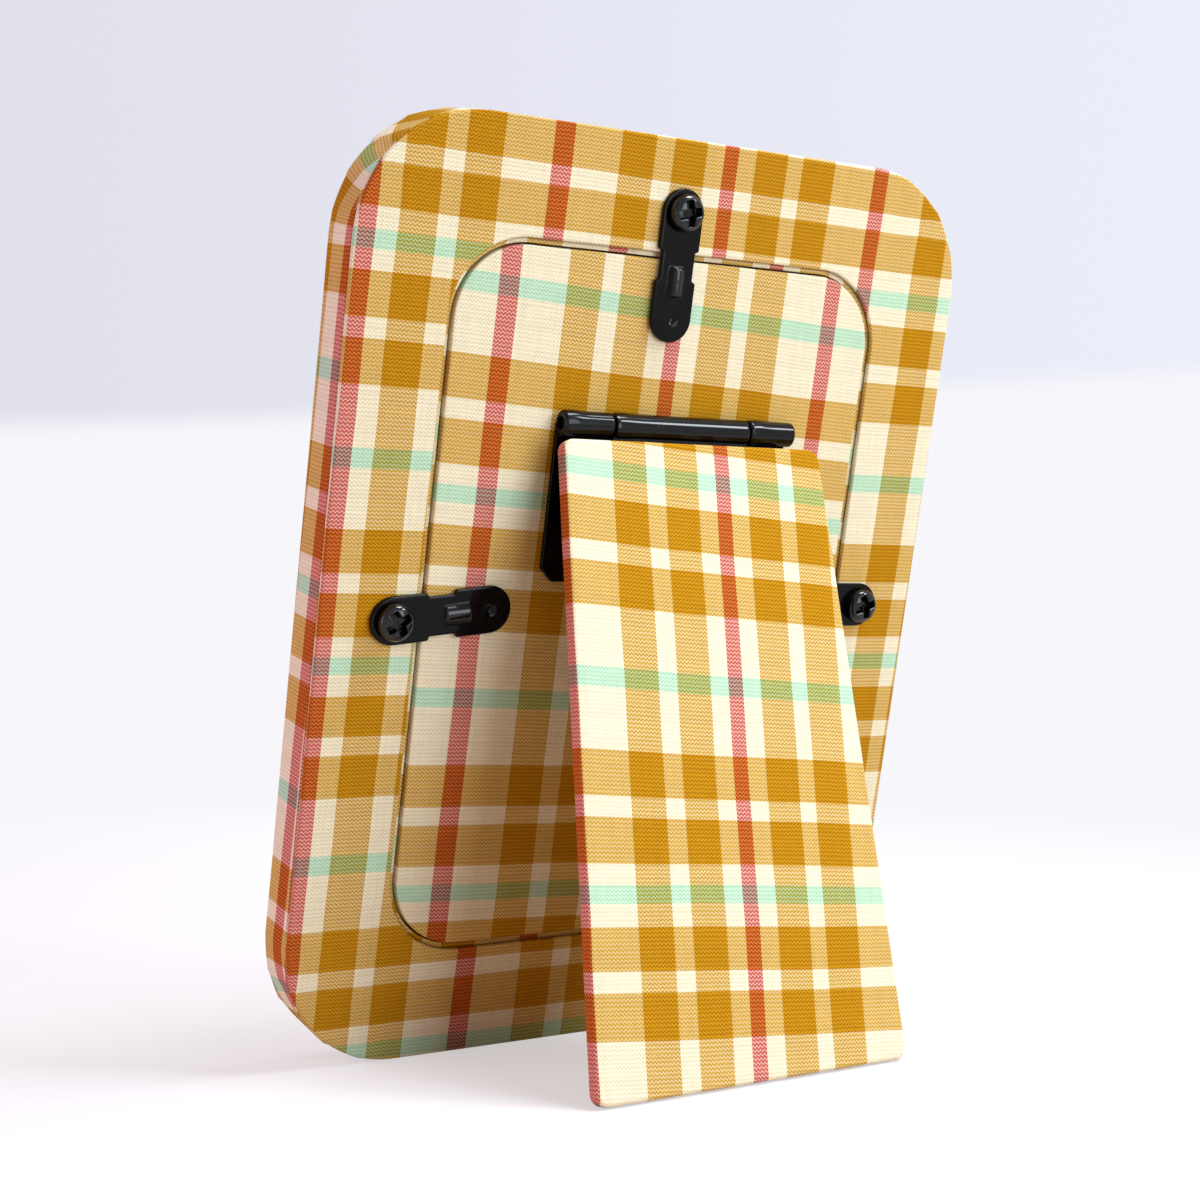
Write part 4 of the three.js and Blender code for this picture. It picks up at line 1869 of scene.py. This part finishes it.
@dataclass(frozen=True)
class RolledKnuckle:
    """A hinge knuckle rolled from sheet, a little taller than it is deep, swelling near its left end.

    The profile runs along the outside, over the right end, back through the bore and over the left end.
    An end takes a share of the way that the outside takes.
    """

    length: float
    radius: float = 2.6 * MM
    bore: float = 1.55 * MM
    oval: float = 0.3 * MM
    flare: float = 0.18 * MM
    flare_start: float = 2.6 * MM
    flare_length: float = 2.4 * MM
    end_round: float = 0.7 * MM
    end_share: float = 0.1
    steps: int = 240
    spokes: int = 48

    def shape(self, name: str) -> NodeShape:
        """Builds the knuckle's tree, its axis along X.

        Args:
            name: The tree's name.

        Returns:
            The tree, ready to run.
        """
        sizes = {
            "Length": self.length,
            "Radius": self.radius,
            "Bore": self.bore,
            "Oval": self.oval,
            "Flare": self.flare,
            "Flare Start": self.flare_start,
            "Flare Length": self.flare_length,
            "End Round": self.end_round,
        }
        shape = NodeShape(name, sizes)
        graph = shape.graph
        grid, along, angle = shape.lathe(self.steps, self.spokes)
        share = self.end_share
        way = along * (2 + 2 * share)
        outer, right_end = graph.clamp(way), graph.clamp((way - 1.0) / share)
        inner, left_end = graph.clamp(way - (1 + share)), graph.clamp((way - (2 + share)) / share)
        length = shape.size("Length")
        x = length * (outer - inner - 0.5)
        from_left = (x + length / 2 - shape.size("Flare Start")) / shape.size("Flare Length")
        flared = shape.size("Flare") * graph.math("EXPONENT", -1.0 * from_left * from_left)
        near_end = (graph.math("ABSOLUTE", x) - length / 2) / shape.size("End Round") + 1.0
        held = graph.clamp(near_end)
        rounded = shape.size("End Round") * (1.0 - graph.math("SQRT", 1.0 - held * held))
        upright = graph.math("COSINE", angle)
        outside = shape.size("Radius") + (shape.size("Oval") + flared) * upright * upright - rounded
        inside = right_end - left_end
        radius = outside + (shape.size("Bore") - outside) * inside
        shape.finish(grid, x, radius * upright, radius * graph.math("SINE", angle))
        return shape


@dataclass(frozen=True)
class Hinge:
    """The hinge of panel and leg: two leaves, each with its rolled knuckles, and their rivets."""

    frame_axes: Axes
    leg_axes: Axes
    end_knuckle: float = 13 * MM
    knuckle_gap: float = 0.3 * MM
    plate_chamfer: float = 3 * MM
    plate_corner: float = 0.5 * MM
    edge_round: float = 0.18 * MM
    corner_steps: int = 4
    sharp_degrees: float = 35.0
    plate_thickness: float = 1.0 * MM
    leaf_thickness: float = 0.8 * MM
    leaf_width: float = 56 * MM
    leaf_top: float = 3.2 * MM
    strap_top: float = 1.9 * MM
    strap_foot: float = 8 * MM
    rivet_radius: float = 2.5 * MM
    rivet_height: float = 0.5 * MM
    rivet_shank: float = 1.2 * MM
    rivet_steps: int = 44
    rivet_spokes: int = 40

    def build(self, material: bpy.types.Material) -> None:
        """Makes both leaves and the rivets.

        Args:
            material: The black steel.
        """
        barrel = self.frame_axes.extent("hinge_plate")
        self._panel_leaf(barrel, material)
        self._leg_leaf(barrel, material)
        self._rivets(material)

    def _panel_leaf(self, barrel: Extent, material: bpy.types.Material) -> None:
        """Makes the panel's leaf, with a knuckle at each end.

        Args:
            barrel: The CAD leaf's extent, as wide as the barrel.
            material: The black steel.
        """
        axis = self.frame_axes.local(np.array(joint("leg_hinge")["pos_m"]))
        middle = barrel.middle[0]
        reach = barrel.size[0] / 2 - self.end_knuckle / 2
        turn = self.frame_axes.matrix().to_3x3()
        spots = [(middle + side * reach, axis[1], axis[2]) for side in (-1, 1)]
        ends = [self._place(self.frame_axes, turn, spot) for spot in spots]
        shape = RolledKnuckle(self.end_knuckle).shape("end_knuckles")
        steel = shape.mesh("hinge_plate_steel", ends, material)
        top, bottom = (barrel.low[0], axis[1]), (barrel.high[0], barrel.low[1])
        plate = self._leaf(top, bottom, barrel.low[2], self.plate_thickness, self.frame_axes)
        self._join(steel, plate)
        settle(steel, Body.FRAME, Slot.BLACK_STEEL, "hinge_plate")

    def _leg_leaf(self, barrel: Extent, material: bpy.types.Material) -> None:
        """Makes the leg's leaf, with the long knuckle and the strap that carries it.

        Args:
            barrel: The extent of the panel's CAD leaf, as wide as the barrel.
            material: The black steel.
        """
        leaf = self.leg_axes.extent("leg_leaf")
        middle = barrel.middle[0]
        turn = self.leg_axes.matrix().to_3x3()
        long_knuckle = barrel.size[0] - 2 * self.end_knuckle - 2 * self.knuckle_gap
        centre = [self._place(self.leg_axes, turn, (middle, 0.0, 0.0))]
        shape = RolledKnuckle(long_knuckle).shape("middle_knuckle")
        steel = shape.mesh("leg_leaf_steel", centre, material)
        inner = -self.leaf_thickness / 2
        for width, upper, lower in (
            (self.leaf_width, -self.leaf_top, leaf.low[1]),
            (long_knuckle, -self.strap_top, -self.strap_foot),
        ):
            ends = (middle - width / 2, upper), (middle + width / 2, lower)
            self._join(steel, self._leaf(*ends, inner, self.leaf_thickness, self.leg_axes))
        settle(steel, Body.LEG, Slot.BLACK_STEEL, "leg_leaf")

    def _rivets(self, material: bpy.types.Material) -> None:
        """Sets the rivets of both leaves, heads towards the space between the leaves.

        Args:
            material: The black steel.
        """
        plate_nodes = ("hinge_plate_rivet_left", "hinge_plate_rivet_right")
        leaf_nodes = ("leg_leaf_rivet_left", "leg_leaf_rivet_right")
        for name, nodes, axes, body, flip in (
            ("plate_rivets", plate_nodes, self.frame_axes, Body.FRAME, False),
            ("leaf_rivets", leaf_nodes, self.leg_axes, Body.LEG, True),
        ):
            turn = axes.matrix().to_3x3()
            if flip:
                turn = turn @ Matrix.Rotation(math.pi, 3, "X")
            places = []
            for node in nodes:
                extent = axes.extent(node)
                seat = extent.low[2] + self.rivet_height if flip else extent.high[2] - self.rivet_height
                places.append(self._place(axes, turn, (extent.middle[0], extent.middle[1], seat)))
            depth = axes.extent(nodes[0]).size[2] - self.rivet_height
            rivet = DomedFastener(
                self.rivet_radius,
                self.rivet_height,
                self.rivet_shank,
                depth,
                steps=self.rivet_steps,
                spokes=self.rivet_spokes,
            )
            piece = rivet.shape(name).mesh(name, places, material)
            settle(piece, body, Slot.BLACK_STEEL, *nodes)

    @staticmethod
    def _place(axes: Axes, turn: Matrix, point: Sequence[float]) -> Matrix:
        """Gives a place on the hinge as a matrix."""
        return Matrix.Translation(Vector(axes.place(np.array(point)))) @ turn.to_4x4()

    def _leaf(
        self, top: Sequence[float], bottom: Sequence[float], inner: float, thickness: float, axes: Axes
    ) -> tuple[np.ndarray, Faces]:
        """Makes a flat leaf with cut lower corners and soft edges.

        Args:
            top: Its left end and upper edge.
            bottom: Its right end and lower edge.
            inner: Where its inner face lies.
            thickness: How thick it is.
            axes: The axes that it lies on.

        Returns:
            Its vertices and faces.
        """
        left, upper = top
        right, lower = bottom
        cut = self.plate_chamfer
        corners = (
            (left, upper),
            (left, lower + cut),
            (left + cut, lower),
            (right - cut, lower),
            (right, lower + cut),
            (right, upper),
        )
        outline = Outline(corners, self.plate_corner)
        soft = self.edge_round
        outer = inner + thickness
        rows = []
        for inset, depth in ((soft, inner), (0.0, inner + soft), (0.0, outer - soft), (soft, outer)):
            loop = outline.inset(inset).loop(self.corner_steps, self.corner_steps)
            rows.append(np.hstack([loop.points, np.full((len(loop.points), 1), depth)]))
        count = len(rows[0])
        last = (len(rows) - 1) * count
        ends = [tuple(reversed(range(count))), tuple(range(last, last + count))]
        return axes.place(np.vstack(rows)), ends + bands(len(rows), count)

    def _join(self, piece: bpy.types.Object, leaf: tuple[np.ndarray, Faces]) -> None:
        """Adds a leaf to the mesh of its knuckles.

        Args:
            piece: The knuckles.
            leaf: The leaf's vertices and faces.
        """
        work = bmesh.new()
        work.from_mesh(piece.data)
        vertices = [work.verts.new(point) for point in leaf[0]]
        for face in leaf[1]:
            work.faces.new([vertices[index] for index in face]).smooth = True
        work.to_mesh(piece.data)
        work.free()
        sharpen(piece.data, self.sharp_degrees)


def sharpen(mesh: bpy.types.Mesh, degrees: float) -> None:
    """Marks edges that turn by more than an angle as sharp.

    Args:
        mesh: The mesh.
        degrees: The angle.
    """
    work = bmesh.new()
    work.from_mesh(mesh)
    for edge in work.edges:
        if len(edge.link_faces) == 2:
            edge.smooth = edge.calc_face_angle() < math.radians(degrees)
    work.to_mesh(mesh)
    work.free()


class ButtonPlace(Enum):
    """The turn buttons: name, body, and which way tongue and cross point, in degrees from the right."""

    TOP = ("top", Body.TOP_BUTTON, -90.0, 14.0)
    LEFT = ("left", Body.LEFT_BUTTON, 6.0, 33.0)
    RIGHT = ("right", Body.RIGHT_BUTTON, 180.0, 20.0)


@dataclass(frozen=True)
class TurnButtons:
    """The three turn buttons and the screws that they turn on."""

    axes: Axes
    button: TurnButton = TurnButton()
    screw: DomedFastener = DomedFastener(
        head_radius=4.25 * MM,
        head_height=2.9 * MM,
        shank_radius=1.75 * MM,
        shank_length=8.0 * MM,
        recess_span=6.2 * MM,
        recess_slot=2.1 * MM,
        recess_depth=2.3 * MM,
    )

    def build(self, material: bpy.types.Material) -> None:
        """Makes the buttons, each on its own body, and the screws.

        Args:
            material: The black steel.
        """
        places = []
        for place in ButtonPlace:
            side, body, tongue, cross = place.value
            swivel = f"{side}_button_swivel"
            piece = self.button.build(f"{side}_button_steel", self.axes, swivel, tongue, material)
            settle(piece, body, Slot.BLACK_STEEL, f"turn_button_{side}")
            head = self.axes.extent(f"turn_screw_{side}")
            spot = self.axes.place(np.array([*head.middle[:2], head.high[2] - self.screw.head_height]))
            turn = self.axes.matrix().to_3x3() @ Matrix.Rotation(math.radians(cross), 3, "Z")
            places.append(Matrix.Translation(Vector(spot)) @ turn.to_4x4())
        screws = self.screw.shape("cross_screw").mesh("turn_screws", places, material)
        nodes = [f"turn_screw_{place.value[0]}" for place in ButtonPlace]
        settle(screws, Body.FRAME, Slot.BLACK_STEEL, *nodes)


@dataclass(frozen=True)
class Lamp:
    """A soft square lamp aimed at the frame."""

    name: str
    place: Point3
    size: float
    power: float
    colour: Colour
    aim: Point3 = (0.0, 0.0, 0.1)

    def build(self) -> None:
        """Adds the lamp to the scene."""
        light = bpy.data.lights.new(self.name, "AREA")
        light.shape = "SQUARE"
        light.size = self.size
        light.energy = self.power
        light.color = self.colour
        lamp = bpy.data.objects.new(self.name, light)
        lamp.location = self.place
        lamp.visible_camera = False
        lamp.rotation_euler = (Vector(self.aim) - Vector(self.place)).to_track_quat("-Z", "Y").to_euler()
        bpy.context.scene.collection.objects.link(lamp)


@dataclass(frozen=True)
class Studio:
    """A pale floor and background, soft lamps and the camera that the photograph was taken with."""

    camera_place: Point3 = (262.6297 * MM, 384.374 * MM, 112.2843 * MM)
    yaw: float = 32.9191
    pitch: float = -0.8751
    roll: float = -0.3952
    lens: float = 60.178
    sensor: float = 36.0
    nearest: float = 0.01
    floor_half: float = 6.0
    floor_colour: Colour = (0.93, 0.89, 0.96)
    floor_bounce: Colour = (0.6, 0.46, 0.37)
    floor_cloud: Colour = (0.85, 0.85, 0.86)
    cloud_share: float = 0.02
    cloud_scale: float = 3.0
    floor_roughness: float = 0.9
    floor_gloss: float = 0.1
    floor_near: float = 0.2
    floor_far: float = 0.55
    distance: Colour = (0.93, 0.925, 0.96)
    haze_left: Colour = (0.755, 0.755, 0.84)
    haze_right: Colour = (0.83, 0.845, 0.945)
    haze_spread: float = 0.3
    haze_start: float = 0.074
    haze_full: float = 0.09
    haze_tilt: float = 0.0533
    floor_glow: float = 0.5
    ambient: Colour = (1.0, 0.74, 0.7)
    ambient_strength: float = 0.31
    lamps: tuple[Lamp, ...] = (
        Lamp("high_lamp", (-0.239, 0.239, 0.825), 0.3, 5.65, (0.92, 1.0, 1.03)),
        Lamp("key_lamp", (-0.463, 0.463, 0.559), 0.15, 1.83, (0.92, 1.0, 1.03)),
        Lamp("low_lamp", (-0.205, 0.765, 0.211), 0.45, 2.94, (0.92, 1.0, 1.03)),
        Lamp("edge_lamp", (0.765, -0.205, 0.211), 0.45, 2.4, (1.0, 0.74, 0.98)),
        Lamp("front_lamp", (-0.35, -0.8, 0.16), 0.3, 3.4, (0.96, 1.0, 1.02)),
    )

    def build(self) -> None:
        """Sets up the camera, the light and the floor."""
        bpy.context.scene.view_settings.view_transform = "Standard"
        self._camera()
        self._world()
        for lamp in self.lamps:
            lamp.build()
        self._floor()

    def _camera(self) -> None:
        """Places the camera by its yaw, pitch and roll."""
        yaw, pitch, roll = (math.radians(angle) for angle in (self.yaw, self.pitch, self.roll))
        level = math.cos(pitch)
        forward = Vector((-math.sin(yaw) * level, -math.cos(yaw) * level, math.sin(pitch)))
        right = forward.cross(Vector((0.0, 0.0, 1.0))).normalized()
        down = forward.cross(right)
        image_x = math.cos(roll) * right + math.sin(roll) * down
        image_y = -math.sin(roll) * right + math.cos(roll) * down
        data = bpy.data.cameras.new("photo_camera")
        data.lens = self.lens
        data.sensor_width = self.sensor
        data.clip_start = self.nearest
        camera = bpy.data.objects.new("photo_camera", data)
        turn = Matrix((image_x, -image_y, -forward)).transposed().to_4x4()
        camera.matrix_world = Matrix.Translation(self.camera_place) @ turn
        bpy.context.scene.collection.objects.link(camera)
        bpy.context.scene.camera = camera

    def _world(self) -> None:
        """Lights the scene evenly, and shows a pale background that darkens a little upwards."""
        world = bpy.data.worlds.new("studio")
        world.use_nodes = True
        bpy.context.scene.world = world
        graph = Graph(world.node_tree)
        world.node_tree.nodes.clear()
        direction = graph.signal("ShaderNodeTexCoord", output="Generated")
        split = graph.add("ShaderNodeSeparateXYZ", {}, {"Vector": direction})
        yaw = math.radians(self.yaw)
        rightward = graph.output(split, "Y") * math.sin(yaw) - graph.output(split, "X") * math.cos(yaw)
        level = graph.output(split, "Z") - self.haze_tilt * rightward
        height = graph.smooth(level, self.haze_start, self.haze_full)
        sideways = graph.smooth(rightward, -self.haze_spread, self.haze_spread)
        shown = graph.mix(height, self.distance, graph.mix(sideways, self.haze_left, self.haze_right))
        seen = self._seen(graph)
        even = {"Color": opaque(self.ambient), "Strength": self.ambient_strength}
        light = graph.signal("ShaderNodeBackground", {}, even)
        view = graph.signal("ShaderNodeBackground", {}, {"Color": shown, "Strength": 1.0})
        both = graph.signal("ShaderNodeMixShader", {}, {0: seen, 1: light, 2: view})
        graph.add("ShaderNodeOutputWorld", {}, {"Surface": both})

    @staticmethod
    def _seen(graph: Graph) -> Signal:
        """Marks what the camera sees directly, mirrored or through glass.

        Args:
            graph: The tree of the floor or of the world.

        Returns:
            1 where it is seen, and 0 where it only lights the frame.
        """
        path = graph.add("ShaderNodeLightPath")
        names = ("Is Camera Ray", "Is Glossy Ray", "Is Transmission Ray")
        camera, glossy, through = (graph.output(path, name) for name in names)
        return graph.math("MAXIMUM", graph.math("MAXIMUM", camera, glossy), through)

    def _floor(self) -> None:
        """Lays a wide pale floor under the frame."""
        reach = self.floor_half
        corners = reach * np.array([(-1, -1, 0), (1, -1, 0), (1, 1, 0), (-1, 1, 0)])
        floor = make_object("floor", corners, [(0, 1, 2, 3)], self._floor_material())

    def _floor_material(self) -> bpy.types.Material:
        """Builds the floor's material: pale, and seen to fade into the background far away.

        Returns:
            The material.
        """
        material = bpy.data.materials.new("floor")
        material.use_nodes = True
        graph = Graph(material.node_tree)
        material.node_tree.nodes.clear()
        place = graph.signal("ShaderNodeTexCoord", output="Object")
        sockets = {"Vector": place, "Scale": self.cloud_scale, "Detail": 2.0}
        cloud = graph.signal("ShaderNodeTexNoise", {}, sockets, "Fac")
        seen = self._seen(graph)
        pale = graph.mix(cloud * self.cloud_share, self.floor_colour, self.floor_cloud)
        sockets = {
            "Base Color": graph.mix(seen, self.floor_bounce, pale),
            "Roughness": self.floor_roughness,
            "Specular IOR Level": self.floor_gloss,
        }
        near = graph.signal("ShaderNodeBsdfPrincipled", {}, sockets, "BSDF")
        reach = graph.signal("ShaderNodeVectorMath", {"operation": "LENGTH"}, {0: place}, "Value")
        away = graph.smooth(reach, self.floor_near, self.floor_far)
        glow = graph.mix(away, (1.0, 1.0, 1.0), self.distance)
        far = graph.signal("ShaderNodeEmission", {}, {"Color": glow, "Strength": 1.0})
        fade = (self.floor_glow + (1 - self.floor_glow) * away) * seen
        both = graph.signal("ShaderNodeMixShader", {}, {0: fade, 1: near, 2: far})
        graph.add("ShaderNodeOutputMaterial", {}, {"Surface": both})
        return material


@dataclass(frozen=True)
class Interior:
    """The pieces whose CAD shapes stay: boards, cards, the lining, the print, the pane and the pin."""

    board: PressedFibre = PressedFibre(
        Slot.FIBREBOARD,
        pale=(0.36, 0.24, 0.13),
        dark=(0.2, 0.12, 0.06),
        flecks=1400.0,
    )
    card: PressedFibre = PressedFibre(
        Slot.GREY_CARD,
        pale=(0.42, 0.39, 0.34),
        dark=(0.26, 0.24, 0.21),
        flecks=2200.0,
        stretch=(1.0, 1.0, 0.4),
    )
    lining: PressedFibre = PressedFibre(
        Slot.LINING_PAPER,
        pale=(0.74, 0.58, 0.38),
        dark=(0.62, 0.47, 0.29),
        flecks=1100.0,
        stretch=(0.3, 1.0, 1.0),
    )

    def dress(self, steel: bpy.types.Material) -> None:
        """Gives each piece its finish.

        Args:
            steel: The black steel, for the pin.
        """
        dress(self.board.material(), "front_board", "back_panel_board", "leg_board")
        dress(self.card.material(), "back_ring_board", "filler_card")
        dress(self.lining.material(), "leg_lining")
        dress(PhotoPaper().material(), "photo_print")
        dress(ClearGlass().material(), "glass_pane")
        dress(steel, "hinge_pin")


def main() -> None:
    """Builds the studio and dresses each sub-assembly."""
    logging.basicConfig(level=logging.INFO, format="%(name)s: %(message)s")
    Studio().build()
    plaid = PlaidCotton().material()
    frame_axes, leg_axes = Axes.of_frame(), Axes.of_leg()
    steel = BlackSteel("", frame_axes).material()
    worn_steel = BlackSteel("_worn", frame_axes, polish=0.55).material()
    hinge_steel = BlackSteel("_hinge", frame_axes, polish=0.25).material()
    FrameCovers(frame_axes).build(plaid)
    EaselLeg(leg_axes).build(plaid)
    TurnButtons(frame_axes).build(worn_steel)
    Hinge(frame_axes, leg_axes).build(hinge_steel)
    Interior().dress(steel)


if __name__ == "__main__":
    main()
